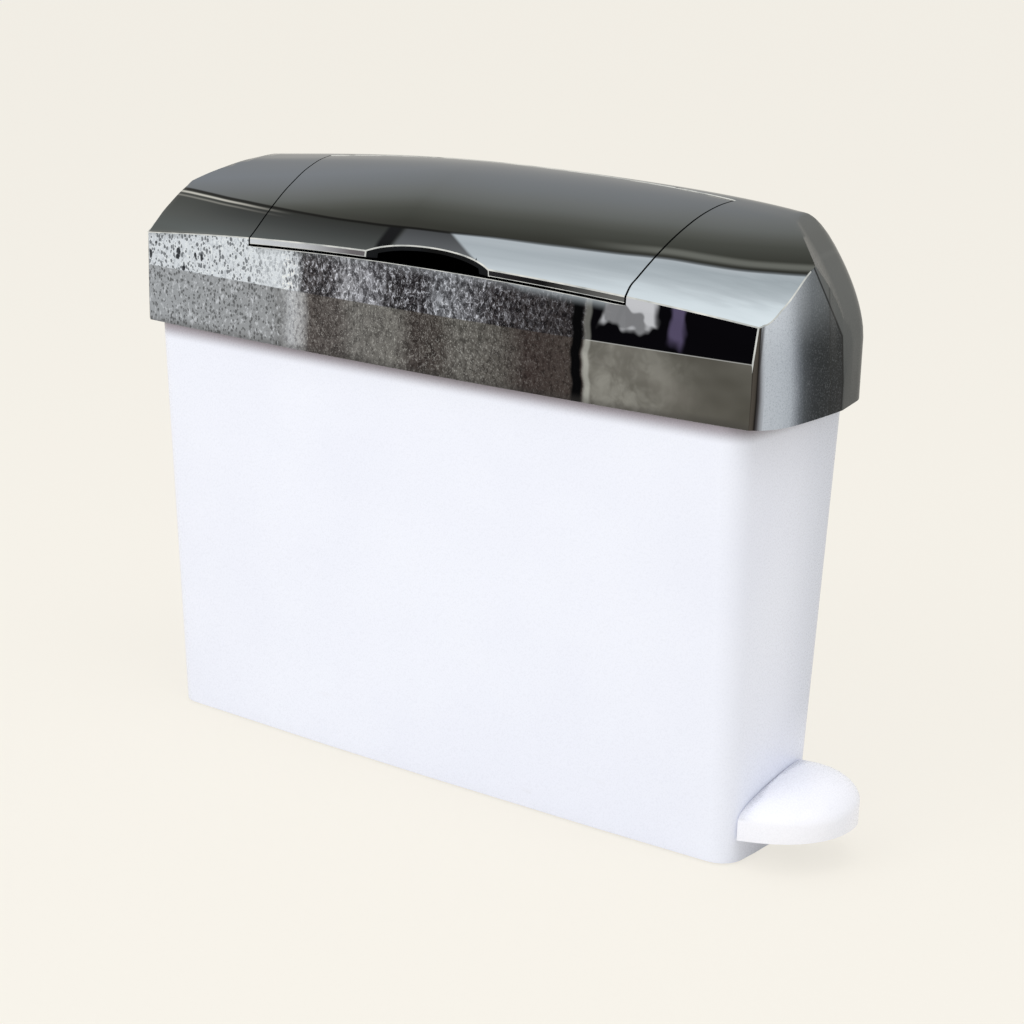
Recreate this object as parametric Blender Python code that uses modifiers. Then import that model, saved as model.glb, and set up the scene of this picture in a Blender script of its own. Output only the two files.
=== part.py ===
# A slim pedal operated sanitary bin: a tapered white body, a bright hood with a
# hinged flap, and a pedal at one end that lifts the flap through a push rod.
# Metres, +Z up. The pieces are drawn about the middle of the body, and the last lines
# move them so that the origin lies on the floor under the middle of the whole part.
# +X is the pedal end and -Y is the long face that is seen first.
import bpy
import bmesh
from math import pi, cos, sin, radians, hypot
from mathutils import Vector

# Body
skirt_lift = 0.0015
shoulder_z = 0.310
neck_height = 0.026
neck_top_z = shoulder_z + neck_height
body_length_half_top = 0.2573
body_end_taper = 0.0036
body_length_half_base = body_length_half_top - body_end_taper
body_width_half_top = 0.0716
body_side_taper = 0.0199
body_width_half_base = body_width_half_top - body_side_taper
body_side_bow = 0.0045
body_end_bow = 0.0028
body_corner = 0.015
body_wall = 0.0028
neck_inset = 0.0033
neck_blend = 0.0065
floor_under = 0.043
floor_thick = 0.003
floor_top = floor_under + floor_thick
below_all = 0.010

# Fit: clearances and the overrun of cutters above the hood
gap = 0.0003
seat_gap = 0.0004
slip_gap = 0.0005
clear_above = 0.0294

# Base: cover, feet, posts and screws
cover_under = 0.0022
cover_thick = 0.0022
post_radius = 0.0045
post_from_near_end = 0.0487
post_from_far_end = 0.0387
post_from_side = 0.0177
post_x_near = body_length_half_base - post_from_near_end
post_x_far = body_length_half_base - post_from_far_end
post_y = body_width_half_base - post_from_side
foot_from_end = 0.0837
foot_from_side = 0.0217
foot_x = body_length_half_base - foot_from_end
foot_y = body_width_half_base - foot_from_side
foot_radius = 0.010
screw_radius = 0.0013
screw_hole = screw_radius + seat_gap
screw_head = 0.0030
screw_head_thick = 0.0014
screw_length = 0.010

# Hood: two skirt bands, a dome over them and drafted ends
hood_edge = shoulder_z + gap
band_low_height = 0.0425
band_top_height = 0.0372
crease_z = hood_edge + band_low_height
arch_z = crease_z + band_top_height
hood_overhang = 0.0227
hood_end = body_length_half_top + hood_overhang
station_inset = 0.0110
hood_station = hood_end - station_inset
hood_side_clear = 0.0009
hood_width_half_end = body_width_half_top + hood_side_clear
hood_side_bow = 0.0097
hood_wall = 0.0025
band_lean_low = 0.0005
band_lean_top = 0.0014
arch_drop = 0.0135
dome_rise = 0.0532
dome_drop = 0.0210
near_fall_shares = (0.528, 0.422)
far_fall_shares = (1.198, -0.205)
corner_cut = 0.0160
end_draft_rise = 0.0197
end_draft_start = hood_edge + end_draft_rise
end_draft = 0.0075
end_draft_height = 0.082
crease_y = 0.020
rear_splay_share = 0.193
front_splay_share = 0.490
roll_dip = 0.0008
roll_start = crease_z - roll_dip
roll_height = 0.059
roll_depth = 0.0258
roll_power = 1.68
curl_start_share = 1.45
curl_share = 35
above_all = arch_z + dome_rise + clear_above

# Flap and its hinge
shoulder_length = 0.118
flap_half_front = hood_end - shoulder_length
flap_flare = 0.015
flap_middle = 0.006
front_overrun = 0.0225
flap_front_beyond = hood_width_half_end + front_overrun
flap_rear_end = 0.029
flap_rear_bow = 0.012
flap_lip = 0.0045
side_gap = 0.0008
rear_gap = 0.0020
lip_gap = 0.0015
notch_x = 0.008
notch_half = 0.056
notch_depth = 0.0098
hinge_forward = 0.016
hinge_rise = 0.0325
hinge_y = flap_rear_end - hinge_forward
hinge_z = arch_z + hinge_rise
hinge_radius = 0.0020
hinge_bore = hinge_radius + seat_gap
hinge_hub = 0.0042
liner_short = 0.0008
liner_half = flap_half_front - liner_short
liner_front = 0.066
liner_behind = 0.008
liner_rear = hinge_y + liner_behind
liner_thick = 0.0020
hub_lap = 0.0052
hub_reach = 0.0068
hub_inner = liner_half - hub_lap
hub_outer = liner_half + hub_reach
pin_lap = 0.0005
pin_reach = 0.0150
pin_inner = hub_inner - pin_lap
pin_outer = hub_outer + pin_reach
hub_clear = 0.0065
bracket_inner = hub_outer + hub_clear
bracket_thick = 0.0055
bracket_foot = 0.0160
bracket_foot_thick = 0.0030
bracket_base_half = 0.0130
bracket_top_half = 0.0038

# Crank that the push rod lifts
crank_reach = 0.0164
crank_angle = radians(30)
crank_margin = 0.0062
roller_radius = 0.0035
roller_half = 0.0032
roller_pin_radius = 0.0015
roller_bore = roller_pin_radius + seat_gap
cheek_gap = 0.0004
cheek_thick = 0.0024
crank_y = hinge_y - crank_reach * cos(crank_angle)
crank_z = hinge_z - crank_reach * sin(crank_angle)

# Push rod and its bay
rod_trail = 0.0008
rod_x = liner_half - crank_margin
rod_y = crank_y - rod_trail
rod_radius = 0.0025
rod_cap_radius = 0.0050
rod_head_radius = 0.0042
rod_cap_height = 0.005
rod_cap_wall = 0.0012
rod_bore = rod_radius + seat_gap
floor_bore_clear = 0.0012
floor_bore = rod_cap_radius + floor_bore_clear
rod_pass_clear = 0.0023
rod_pass = rod_head_radius + rod_pass_clear
bay_before_rod = 0.016
bay_x = rod_x - bay_before_rod
bay_thick = 0.002
bay_drop = 0.010
bay_top = neck_top_z - bay_drop
guide_wall = 0.0055
guide_start = bay_x + bay_thick + gap
guide_length = rod_x - guide_start + guide_wall
guide_half = 0.008
guide_height = 0.012
guide_low = 0.110
guide_below_shoulder = 0.010
guide_high = shoulder_z - guide_below_shoulder

# Pedal, its lever and axle
axle_inset = 0.0077
axle_x = body_length_half_base - axle_inset
axle_z = 0.018
axle_radius = 0.0020
axle_bore = axle_radius + seat_gap
axle_proud = 0.002
ear_inner = 0.024
ear_thick = 0.005
ear_outer = ear_inner + ear_thick
ear_length = 0.010
ear_front = axle_x - ear_length
ear_drop = 0.0075
ear_bottom = axle_z - ear_drop
axle_half = ear_outer + axle_proud
hub_radius = 0.006
hub_half = ear_inner - slip_gap
pedal_root_gap = 0.0013
pedal_root = body_length_half_base + body_end_bow + pedal_root_gap
pedal_reach = 0.0596
pedal_flare = 0.0003
pedal_half = 0.0445
pedal_bottom = 0.0190
pedal_band = 0.0135
pedal_crown = 0.0036
pedal_rise = 0.0090
pedal_bulge = 0.0035
pedal_lean = 0.0145
pedal_wall = 0.0028
pedal_round = 0.0075
lean_fade_share = 0.35
tip_drop_share = 0.40
lever_half_width = 0.008
lever_bottom = 0.0185
lever_thick = 0.005
lever_step = 0.004
lever_past_rod = 0.0025
lever_inner = rod_x - lever_past_rod
step_lap = 0.0027
step_x = pedal_root + step_lap
tongue_length = 0.0402
lever_outer = pedal_root + tongue_length
tongue_margin = 0.010
tread_screw_pitch = 0.016
tread_screw_far = lever_outer - tongue_margin
tread_screw_near = tread_screw_far - tread_screw_pitch
tread_post = 0.0042
slot_side = 0.004
slot_half = lever_half_width + slot_side
slot_bottom = 0.008
slot_top = 0.038

# Bag hoop and its ledges
hoop_wire = 0.0015
hoop_rise = 0.0053
hoop_z = shoulder_z + hoop_rise
hoop_inset = 0.0025
ledge_x = 0.090
ledge_length = 0.012
ledge_depth = 0.0101
ledge_inner = body_width_half_top - ledge_depth
ledge_top = hoop_z - hoop_wire - gap
ledge_thick = 0.0025

# Lid frame and modesty flap
frame_under = neck_top_z + seat_gap
frame_thick = 0.0030
frame_top = frame_under + frame_thick
frame_skirt_depth = 0.0079
frame_skirt_bottom = frame_under - frame_skirt_depth
frame_skirt_wall = 0.0020
frame_post_from_end = 0.065
frame_post_x = hood_end - frame_post_from_end
frame_post_y = 0.030
mouth_short = 0.0112
mouth_before_bay = 0.005
mouth_left = liner_half - mouth_short
mouth_right = bay_x - mouth_before_bay
mouth_front = 0.056
mouth_rear = 0.016
mouth_corner = 0.012
modesty_behind = 0.008
modesty_drop = 0.0059
modesty_y = mouth_rear + modesty_behind
modesty_z = frame_under - modesty_drop
modesty_hub = 0.0034
modesty_pin = 0.0015
modesty_bore = modesty_pin + seat_gap
modesty_lap = 0.0025
modesty_front = mouth_front + modesty_lap
modesty_thick = 0.0020
modesty_side_gap = 0.0020
modesty_left = mouth_left - modesty_side_gap
modesty_right = mouth_right - modesty_side_gap
lug_thick = 0.0045
lug_half = 0.0055
lug_drop = 0.005
lug_bottom = modesty_z - lug_drop
pin_engage = 0.0140
spring_turns = 4
spring_radius = 0.0028
spring_wire = 0.0004
spring_length = 0.0052

# Clearing the scene
for old in list(bpy.data.objects):
    bpy.data.objects.remove(old, do_unlink=True)
parts = bpy.data.collections.new("sanitary_container")
cutters = bpy.data.collections.new("cutters")
cutters.hide_render = True
bpy.context.scene.collection.children.link(parts)
bpy.context.scene.collection.children.link(cutters)


def material(name, colour, roughness, metallic=0.0):
    """A Principled material."""
    made = bpy.data.materials.new(name)
    made.use_nodes = True
    shader = made.node_tree.nodes["Principled BSDF"]
    shader.inputs["Base Color"].default_value = (*colour, 1.0)
    shader.inputs["Roughness"].default_value = roughness
    shader.inputs["Metallic"].default_value = metallic
    return made


white_plastic = material("white_plastic", (0.86, 0.86, 0.90), 0.28)
grey_plastic = material("grey_plastic", (0.32, 0.34, 0.37), 0.45)
pale_plastic = material("pale_plastic", (0.60, 0.66, 0.74), 0.40)
chrome = material("chrome", (0.42, 0.42, 0.40), 0.08, 1.0)
steel = material("steel", (0.62, 0.62, 0.62), 0.30, 1.0)
rubber = material("rubber", (0.03, 0.03, 0.03), 0.80)
nylon = material("nylon", (0.78, 0.76, 0.70), 0.50)


def mesh_object(name, work, paint=None, origin=(0.0, 0.0, 0.0)):
    """The bmesh as an object; a cutter where it has no material."""
    bmesh.ops.recalc_face_normals(work, faces=work.faces)
    if work.calc_volume(signed=True) < 0:
        bmesh.ops.reverse_faces(work, faces=work.faces)
    bmesh.ops.translate(work, verts=work.verts, vec=-Vector(origin))
    data = bpy.data.meshes.new(name)
    work.to_mesh(data)
    work.free()
    made = bpy.data.objects.new(name, data)
    made.location = origin
    if paint is None:
        made.hide_render = True
        made.display_type = "WIRE"
        cutters.objects.link(made)
    else:
        data.materials.append(paint)
        parts.objects.link(made)
    return made


def boolean(target, other, operation):
    """A live Boolean on the target."""
    step = target.modifiers.new(operation.lower(), "BOOLEAN")
    step.operation = operation
    step.object = other
    step.solver = "EXACT"
    return target


def add_box(work, x0, x1, y0, y1, z0, z1):
    """A box between two corners."""
    found = bmesh.ops.create_cube(work, size=1.0)["verts"]
    for vert in found:
        vert.co.x = x0 if vert.co.x < 0 else x1
        vert.co.y = y0 if vert.co.y < 0 else y1
        vert.co.z = z0 if vert.co.z < 0 else z1
    return found


def add_rod(work, axis, centre, radius, low, high, sides=20):
    """A cylinder along X, Y or Z; centre holds the other two coordinates."""
    found = bmesh.ops.create_cone(
        work,
        cap_ends=True,
        segments=sides,
        radius1=radius,
        radius2=radius,
        depth=high - low,
    )["verts"]
    middle = (low + high) / 2
    for vert in found:
        x, y, z = vert.co
        if axis == "Z":
            vert.co = (centre[0] + x, centre[1] + y, middle + z)
        elif axis == "X":
            vert.co = (middle + z, centre[0] + x, centre[1] + y)
        else:
            vert.co = (centre[0] + x, middle + z, centre[1] + y)
    return found


def box(name, bounds, paint=None, origin=(0.0, 0.0, 0.0)):
    """One box as an object."""
    work = bmesh.new()
    add_box(work, *bounds)
    return mesh_object(name, work, paint, origin)


def rod(name, axis, centre, radius, low, high, paint=None, sides=20, origin=(0, 0, 0)):
    """One cylinder as an object."""
    work = bmesh.new()
    add_rod(work, axis, centre, radius, low, high, sides)
    return mesh_object(name, work, paint, origin)


def loft(name, rings, paint=None, origin=(0.0, 0.0, 0.0)):
    """A closed solid through rings of equal count."""
    work = bmesh.new()
    made = [[work.verts.new(point) for point in ring] for ring in rings]
    count = len(rings[0])
    for low, high in zip(made, made[1:]):
        for i in range(count):
            j = (i + 1) % count
            work.faces.new((low[i], low[j], high[j], high[i]))
    work.faces.new(made[0])
    work.faces.new(made[-1])
    return mesh_object(name, work, paint, origin)


def smooth(made, angle=radians(35)):
    """Smooth shading with sharp edges kept."""
    made.data.shade_smooth()
    made.data.set_sharp_from_angle(angle=angle)


# Body outline: a rounded rectangle whose sides and ends bow outward
def bowed_outline(half_x, half_y, corner, z, inset=0.0, long_steps=10, end_steps=4):
    """Points of the body's plan at one height."""
    half_x = half_x - inset
    half_y = half_y - inset
    corner = max(corner - inset, corner / 4)
    flat_x = half_x - corner
    flat_y = half_y - corner
    points = []
    for side in range(4):
        centre_x = flat_x if side in (0, 3) else -flat_x
        centre_y = flat_y if side in (0, 1) else -flat_y
        for i in range(6):
            turn = pi / 2 * (side + i / 5)
            points.append((centre_x + corner * cos(turn), centre_y + corner * sin(turn)))
        steps = long_steps if side in (0, 2) else end_steps
        start = points[-1]
        if side == 0:
            end = (-flat_x, half_y)
        elif side == 1:
            end = (-half_x, -flat_y)
        elif side == 2:
            end = (flat_x, -half_y)
        else:
            end = (half_x, flat_y)
        for i in range(1, steps):
            t = i / steps
            points.append((start[0] + (end[0] - start[0]) * t, start[1] + (end[1] - start[1]) * t))
    bowed = []
    for x, y in points:
        widen = 1 + body_side_bow * (1 - (x / half_x) ** 2) / half_y
        lengthen = 1 + body_end_bow * (1 - (y / half_y) ** 2) / half_x
        bowed.append((x * lengthen, y * widen, z))
    return bowed


def body_ring(z, inset=0.0):
    """The body's outer plan at a height, moved inward by the inset."""
    t = min(z, shoulder_z) / shoulder_z
    half_x = body_length_half_base + (body_length_half_top - body_length_half_base) * t
    half_y = body_width_half_base + (body_width_half_top - body_width_half_base) * t
    return bowed_outline(half_x, half_y, body_corner, z, inset)


def cavity(name, extra, bottom, top):
    """The body's inner space, smaller by an extra clearance."""
    inset = body_wall + extra
    return loft(name, [
        body_ring(bottom, inset),
        body_ring(shoulder_z - neck_blend, inset),
        body_ring(shoulder_z - neck_inset / 2, inset + neck_inset),
        body_ring(top, inset + neck_inset),
    ])


# Bin body
body = loft("bin_body", [
    body_ring(skirt_lift),
    body_ring(shoulder_z / 3),
    body_ring(shoulder_z * 2 / 3),
    body_ring(shoulder_z),
    body_ring(shoulder_z, neck_inset),
    body_ring(neck_top_z, neck_inset),
], white_plastic)
boolean(body, cavity("body_cavity", 0.0, floor_top, neck_top_z + below_all), "DIFFERENCE")
boolean(body, loft("base_cavity", [body_ring(-below_all, body_wall), body_ring(floor_under, body_wall)]),
        "DIFFERENCE")
floor_mid = (floor_under + floor_top) / 2
inner_end = body_length_half_base + body_end_bow - body_wall / 2
work = bmesh.new()
post_bottom = cover_under + cover_thick + seat_gap
for sign in (-1, 1):
    add_rod(work, "Z", (post_x_near, sign * post_y), post_radius, post_bottom, floor_mid)
    add_rod(work, "Z", (-post_x_far, sign * post_y), post_radius, post_bottom, floor_mid)
    ears = (sign * ear_inner, sign * ear_outer)
    add_box(work, ear_front, inner_end, min(ears), max(ears), ear_bottom, floor_mid)
boolean(body, mesh_object("base_posts", work), "UNION")
work = bmesh.new()
ledge_outer = body_width_half_top - neck_inset + body_side_bow / 2
for sign_x in (-1, 1):
    for sign in (-1, 1):
        sides = (sign * ledge_inner, sign * ledge_outer)
        start = sign_x * ledge_x - ledge_length / 2
        add_box(work, start, start + ledge_length, min(sides), max(sides),
                ledge_top - ledge_thick, ledge_top)
boolean(body, mesh_object("hoop_ledges", work), "UNION")
work = bmesh.new()
add_box(work, axle_x, axle_x + slot_half * 2, -slot_half, slot_half, slot_bottom, slot_top)
boolean(body, mesh_object("pedal_slot", work), "DIFFERENCE")
work = bmesh.new()
add_rod(work, "Y", (axle_x, axle_z), axle_bore, -axle_half * 1.02, axle_half * 1.02)
add_rod(work, "Z", (rod_x, rod_y), floor_bore, floor_under - below_all / 2, floor_top + below_all / 2)
for sign in (-1, 1):
    for x in (post_x_near, -post_x_far):
        add_rod(work, "Z", (x, sign * post_y), screw_hole, post_bottom - below_all / 2,
                post_bottom + screw_length, 12)
boolean(body, mesh_object("base_bores", work), "DIFFERENCE")
smooth(body)

# Base cover, feet and screws
cover = loft("base_cover", [
    body_ring(cover_under, body_wall + slip_gap),
    body_ring(cover_under + cover_thick, body_wall + slip_gap),
], grey_plastic)
work = bmesh.new()
screw_places = [(x, sign * post_y) for x in (post_x_near, -post_x_far) for sign in (-1, 1)]
for place in screw_places:
    add_rod(work, "Z", place, screw_hole, -below_all, below_all, 12)
boolean(cover, mesh_object("cover_holes", work), "DIFFERENCE")
for index, (x, y) in enumerate(screw_places, 1):
    work = bmesh.new()
    head_top = cover_under - gap
    add_rod(work, "Z", (x, y), screw_head, head_top - screw_head_thick, head_top, 12)
    shank = rod(f"shank_{index}", "Z", (x, y), screw_radius, head_top - screw_head_thick / 2,
                head_top + screw_length, None, 10)
    boolean(mesh_object(f"base_screw_{index}", work, steel), shank, "UNION")
for index, (x, y) in enumerate([(sx * foot_x, sy * foot_y) for sx in (1, -1) for sy in (-1, 1)], 1):
    smooth(rod(f"base_foot_{index}", "Z", (x, y), foot_radius, 0.0, cover_under - gap, rubber, 24))

# Pedal axle
smooth(rod("pedal_axle", "Y", (axle_x, axle_z), axle_radius, -axle_half, axle_half, steel, 16))

# Pedal lever
axle_origin = (axle_x, 0.0, axle_z)
lever = box("pedal_lever", (lever_inner, step_x + lever_thick, -lever_half_width, lever_half_width,
                            lever_bottom, lever_bottom + lever_thick), grey_plastic, axle_origin)
work = bmesh.new()
add_box(work, step_x, lever_outer, -lever_half_width * 0.9, lever_half_width * 0.9,
        lever_bottom + lever_step, lever_bottom + lever_step + lever_thick * 0.8)
boolean(lever, mesh_object("lever_tongue", work), "UNION")
boolean(lever, rod("lever_hub", "Y", (axle_x, axle_z), hub_radius, -hub_half, hub_half, None, 24),
        "UNION")
work = bmesh.new()
add_rod(work, "Y", (axle_x, axle_z), axle_bore, -axle_half, axle_half)
for x in (tread_screw_near, tread_screw_far):
    add_rod(work, "Z", (x, 0.0), screw_hole, 0.0, below_all * 4, 12)
boolean(lever, mesh_object("lever_bores", work), "DIFFERENCE")
smooth(lever)


# Pedal tread: rings from the lower rim over the side band to the crown
def pedal_ring(share, z_of, inset=0.0, flare=0.0):
    """A half oval ring scaled about the root, with its height from a function."""
    half = (pedal_half - inset) * share
    reach = (pedal_reach + flare - inset * 2) * share
    points = []
    arc_steps = 18
    for i in range(arc_steps + 1):
        turn = -pi / 2 + pi * i / arc_steps
        across = abs(sin(turn)) ** 0.9 * (1 if turn > 0 else -1)
        points.append((reach * cos(turn) ** 0.8 if cos(turn) > 0.001 else 0.0, half * across))
    root_steps = 4
    for i in range(1, root_steps):
        points.append((0.0, half * (1 - 2 * i / root_steps)))
    ring = []
    for x, y in points:
        back = body_end_bow * (y / body_width_half_base) ** 2
        away = x / pedal_reach
        ring.append((pedal_root + inset + x - back * (1 - away), y, z_of(away, y / pedal_half)))
    return ring


def pedal_base(away, across):
    """Height of the lower rim."""
    return pedal_bottom + pedal_rise * away


def pedal_shoulder(away, across):
    """Height where the side band turns in: the tread leans up towards its rear side."""
    band = pedal_band * (1 - tip_drop_share * away ** 2)
    lean = pedal_lean * (across + 1) / 2 * (1 - lean_fade_share * away)
    return pedal_base(away, across) + band + lean


def crown_height(share, inset=0.0):
    """A function for the height of one crown ring."""
    def height(away, across):
        lift = (1 - share ** 1.8) * (pedal_crown + pedal_bulge * away * 4 * share)
        return pedal_shoulder(away, across) + pedal_round * (1 - share ** 6) ** 0.5 + lift - inset
    return height


def tread_solid(name, inset, bottom_drop, paint=None, origin=(0.0, 0.0, 0.0)):
    """The whole tread, or its hollow with an inset."""
    draw_in = -pedal_flare * bottom_drop / pedal_band
    rings = [
        pedal_ring(1.0, lambda a, c: pedal_base(a, c) - bottom_drop, inset, draw_in),
        pedal_ring(1.0, lambda a, c: pedal_shoulder(a, c) - inset, inset, pedal_flare),
    ]
    for share in (0.985, 0.955, 0.90, 0.80, 0.66, 0.50, 0.32, 0.15):
        rings.append(pedal_ring(share, crown_height(share, inset), inset, pedal_flare))
    return loft(name, rings, paint, origin)


tread = tread_solid("pedal", 0.0, 0.0, white_plastic, axle_origin)
hollow = tread_solid("pedal_hollow", pedal_wall, below_all)
boolean(tread, hollow, "DIFFERENCE")
lever_way = lever_half_width + slip_gap
boolean(tread, box("lever_way", (pedal_root - below_all, pedal_root + below_all, -lever_way, lever_way,
                                 pedal_bottom - below_all,
                                 lever_bottom + lever_step + lever_thick + slip_gap)), "DIFFERENCE")
work = bmesh.new()
tread_post_bottom = lever_bottom + lever_step + lever_thick * 0.8 + gap
for x in (tread_screw_near, tread_screw_far):
    out = x - pedal_root
    top = crown_height(out / (pedal_reach + pedal_flare))(out / pedal_reach, 0.0) - pedal_wall * 0.6
    add_rod(work, "Z", (x, 0.0), tread_post, tread_post_bottom, top, 16)
boolean(tread, mesh_object("tread_posts", work), "UNION")
work = bmesh.new()
for x in (tread_screw_near, tread_screw_far):
    add_rod(work, "Z", (x, 0.0), screw_hole, tread_post_bottom - below_all / 2,
            tread_post_bottom + screw_length, 12)
boolean(tread, mesh_object("tread_bores", work), "DIFFERENCE")
smooth(tread)
for index, x in enumerate((tread_screw_near, tread_screw_far), 1):
    head_top = lever_bottom + lever_step - gap
    work = bmesh.new()
    add_rod(work, "Z", (x, 0.0), screw_head, head_top - screw_head_thick, head_top, 12)
    shank = rod(f"tread_shank_{index}", "Z", (x, 0.0), screw_radius, head_top - screw_head_thick / 2,
                head_top + screw_length, None, 10)
    boolean(mesh_object(f"tread_screw_{index}", work, steel, axle_origin), shank, "UNION")

# Push rod with its two caps
foot_bottom = lever_bottom + lever_thick + seat_gap
head_top = crank_z - roller_radius - seat_gap
smooth(rod("push_rod", "Z", (rod_x, rod_y), rod_radius, foot_bottom + rod_cap_wall + gap,
           head_top - rod_cap_wall - gap, steel, 16))
for name, low, radius, opening in (
    ("rod_foot", foot_bottom, rod_cap_radius, 1),
    ("rod_head", head_top - rod_cap_height, rod_head_radius, -1),
):
    cap = rod(name, "Z", (rod_x, rod_y), radius, low, low + rod_cap_height, nylon, 20)
    shift = rod_cap_wall * opening
    socket = rod(f"{name}_socket", "Z", (rod_x, rod_y), rod_radius + gap, low + shift,
                 low + rod_cap_height + shift, None, 16)
    smooth(boolean(cap, socket, "DIFFERENCE"))

# Bay partition and rod guides
partition = cavity("bay_partition", slip_gap, floor_top + seat_gap, neck_top_z)
cutters.objects.unlink(partition)
parts.objects.link(partition)
partition.hide_render = False
partition.display_type = "TEXTURED"
partition.data.materials.append(grey_plastic)
boolean(partition, box("bay_slab", (bay_x, bay_x + bay_thick, -body_width_half_top * 1.2,
                                    body_width_half_top * 1.2, 0.0, bay_top)), "INTERSECT")
for name, low in (("rod_guide_lower", guide_low), ("rod_guide_upper", guide_high)):
    guide = box(name, (guide_start, guide_start + guide_length, rod_y - guide_half,
                       rod_y + guide_half, low, low + guide_height), nylon)
    step = guide.modifiers.new("round", "BEVEL")
    step.width = guide_half / 6
    step.segments = 2
    step.limit_method = "ANGLE"
    boolean(guide, rod(f"{name}_bore", "Z", (rod_x, rod_y), rod_bore, low - below_all,
                       low + guide_height + below_all, None, 20), "DIFFERENCE")

# Bag hoop
hoop_path = []
for x, y, z in body_ring(hoop_z, neck_inset + body_wall + hoop_inset):
    hoop_path.append((min(x, bay_x - hoop_wire - hoop_inset), y))
kept = [hoop_path[0]]
for point in hoop_path[1:]:
    if hypot(point[0] - kept[-1][0], point[1] - kept[-1][1]) > hoop_wire * 2:
        kept.append(point)
wire = bpy.data.curves.new("bag_hoop_path", "CURVE")
wire.dimensions = "3D"
wire.bevel_depth = hoop_wire
wire.bevel_resolution = 1
line = wire.splines.new("POLY")
line.points.add(len(kept) - 1)
for place, (x, y) in zip(line.points, kept):
    place.co = (x, y, hoop_z, 1.0)
line.use_cyclic_u = True
hoop = bpy.data.objects.new("bag_hoop", wire)
wire.materials.append(steel)
parts.objects.link(hoop)


# Hood surface: profile across the width at a station along the length
dome_shares = (
    (-1.0, 0.0, 0.64), (-0.925, 0.105, 0.878), (-0.85, 0.195, 0.964), (-0.70, 0.36, 1.001),
    (-0.55, 0.512, 1.033), (-0.40, 0.645, 1.028), (-0.25, 0.76, 1.041), (-0.10, 0.852, 0.98),
    (0.05, 0.92, 0.92), (0.20, 0.965, 0.84), (0.35, 0.992, 0.819), (0.50, 1.0, 0.777),
    (0.61, 0.980, 0.776), (0.71, 0.920, 0.819), (0.80, 0.805, 0.857), (0.88, 0.640, 0.862),
    (0.945, 0.430, 0.81), (0.985, 0.200, 0.75), (1.0, -0.04, 0.72),
)


def hood_half_width(x):
    """Half the hood's width at a station."""
    return hood_width_half_end + hood_side_bow * (1 - (x / hood_station) ** 2)


def hood_profile(x):
    """The outer profile, from the front lower edge over the dome to the rear edge."""
    along = (x / hood_station) ** 2
    low_fall, end_fall = near_fall_shares if x > 0 else far_fall_shares
    fall = along * (low_fall + end_fall * along ** 2)
    half = hood_half_width(x)
    points = [(-half + band_lean_low, hood_edge), (-half, crease_z)]
    for share, rise, drop in dome_shares:
        y = half * share
        if share == -1.0:
            y += band_lean_top
        z = arch_z + dome_rise * rise
        z -= arch_drop * along if share == -1.0 else dome_drop * drop * fall
        points.append((y, z))
    points.append((half, crease_z))
    points.append((half - band_lean_low, hood_edge))
    return points


def inward(points, distance):
    """An open polyline moved to its right by a distance."""
    if distance == 0:
        return list(points)
    normals = []
    for (x0, y0), (x1, y1) in zip(points, points[1:]):
        length = hypot(x1 - x0, y1 - y0)
        normals.append(((y1 - y0) / length, -(x1 - x0) / length))
    moved = []
    for i, (x, y) in enumerate(points):
        first = normals[max(i - 1, 0)]
        second = normals[min(i, len(normals) - 1)]
        scale = distance / (1 + first[0] * second[0] + first[1] * second[1])
        moved.append((x + (first[0] + second[0]) * scale, y + (first[1] + second[1]) * scale))
    return moved


def surface_height(x, y):
    """Height of the dome's outer surface."""
    points = hood_profile(x)[2:-2]
    for (y0, z0), (y1, z1) in zip(points, points[1:]):
        if y0 <= y <= y1:
            return z0 + (z1 - z0) * (y - y0) / (y1 - y0)
    return points[-1][1]


end_shares = (
    (-1.45, 0.03), (-0.97, 0.03), (-0.92, 0.30), (-0.875, 0.445), (-0.82, 0.58), (-0.75, 0.71),
    (-0.66, 0.82), (-0.54, 0.89), (-0.40, 0.935), (-0.22, 0.975), (0.0, 1.0), (0.27, 0.995),
    (0.62, 0.93), (1.25, 0.70),
)


def main_end_ring(z, inset):
    """Plan of the two main end faces, joined to one outline."""
    steep = max(z - end_draft_start, 0.0) / end_draft_height
    rise = min(max(z - hood_edge, 0.0) / (arch_z - hood_edge), 1.0)
    line = []
    for across, reach in end_shares:
        y = hood_width_half_end * across
        x = hood_end - corner_cut * (1 - reach) - end_draft * steep * (0.4 + 0.6 * reach)
        x += corner_cut * 0.28 * rise * max(1 - reach * 1.4, 0.0)
        if across < -1.0:
            x -= (-0.97 - across) * hood_width_half_end
        line.append((x - inset, y, z))
    return line + [(-x, y, z) for x, y, z in reversed(line)]


def rear_end_ring(z, inset):
    """Plan of the two rolled rear end faces, joined to one outline."""
    up = max(z - roll_start, 0.0) / roll_height
    curl = curl_share * max(up - curl_start_share, 0.0) ** 2.5
    roll = roll_depth * (up ** roll_power + curl)
    line = []
    rear_span = flap_front_beyond - crease_y
    places = [-flap_front_beyond, crease_y] + [crease_y + rear_span * i / 7 for i in range(1, 8)]
    for y in places:
        x = hood_end - (rear_splay_share if y > crease_y else front_splay_share) * (y - crease_y)
        x -= max(y - crease_y * 2.6, 0.0) ** 2 / crease_y * 0.32
        line.append((x - roll - inset, y, z))
    return line + [(-x, y, z) for x, y, z in reversed(line)]


roll_levels = (0.0, 0.2, 0.35, 0.5, 0.65, 0.8, 0.92, 1.03, 1.14, 1.24, 1.32, 1.39, 1.45, 1.51, 1.56)
hood_stations = [hood_station * 1.06 * i / 12 for i in range(-12, 13)]


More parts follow.
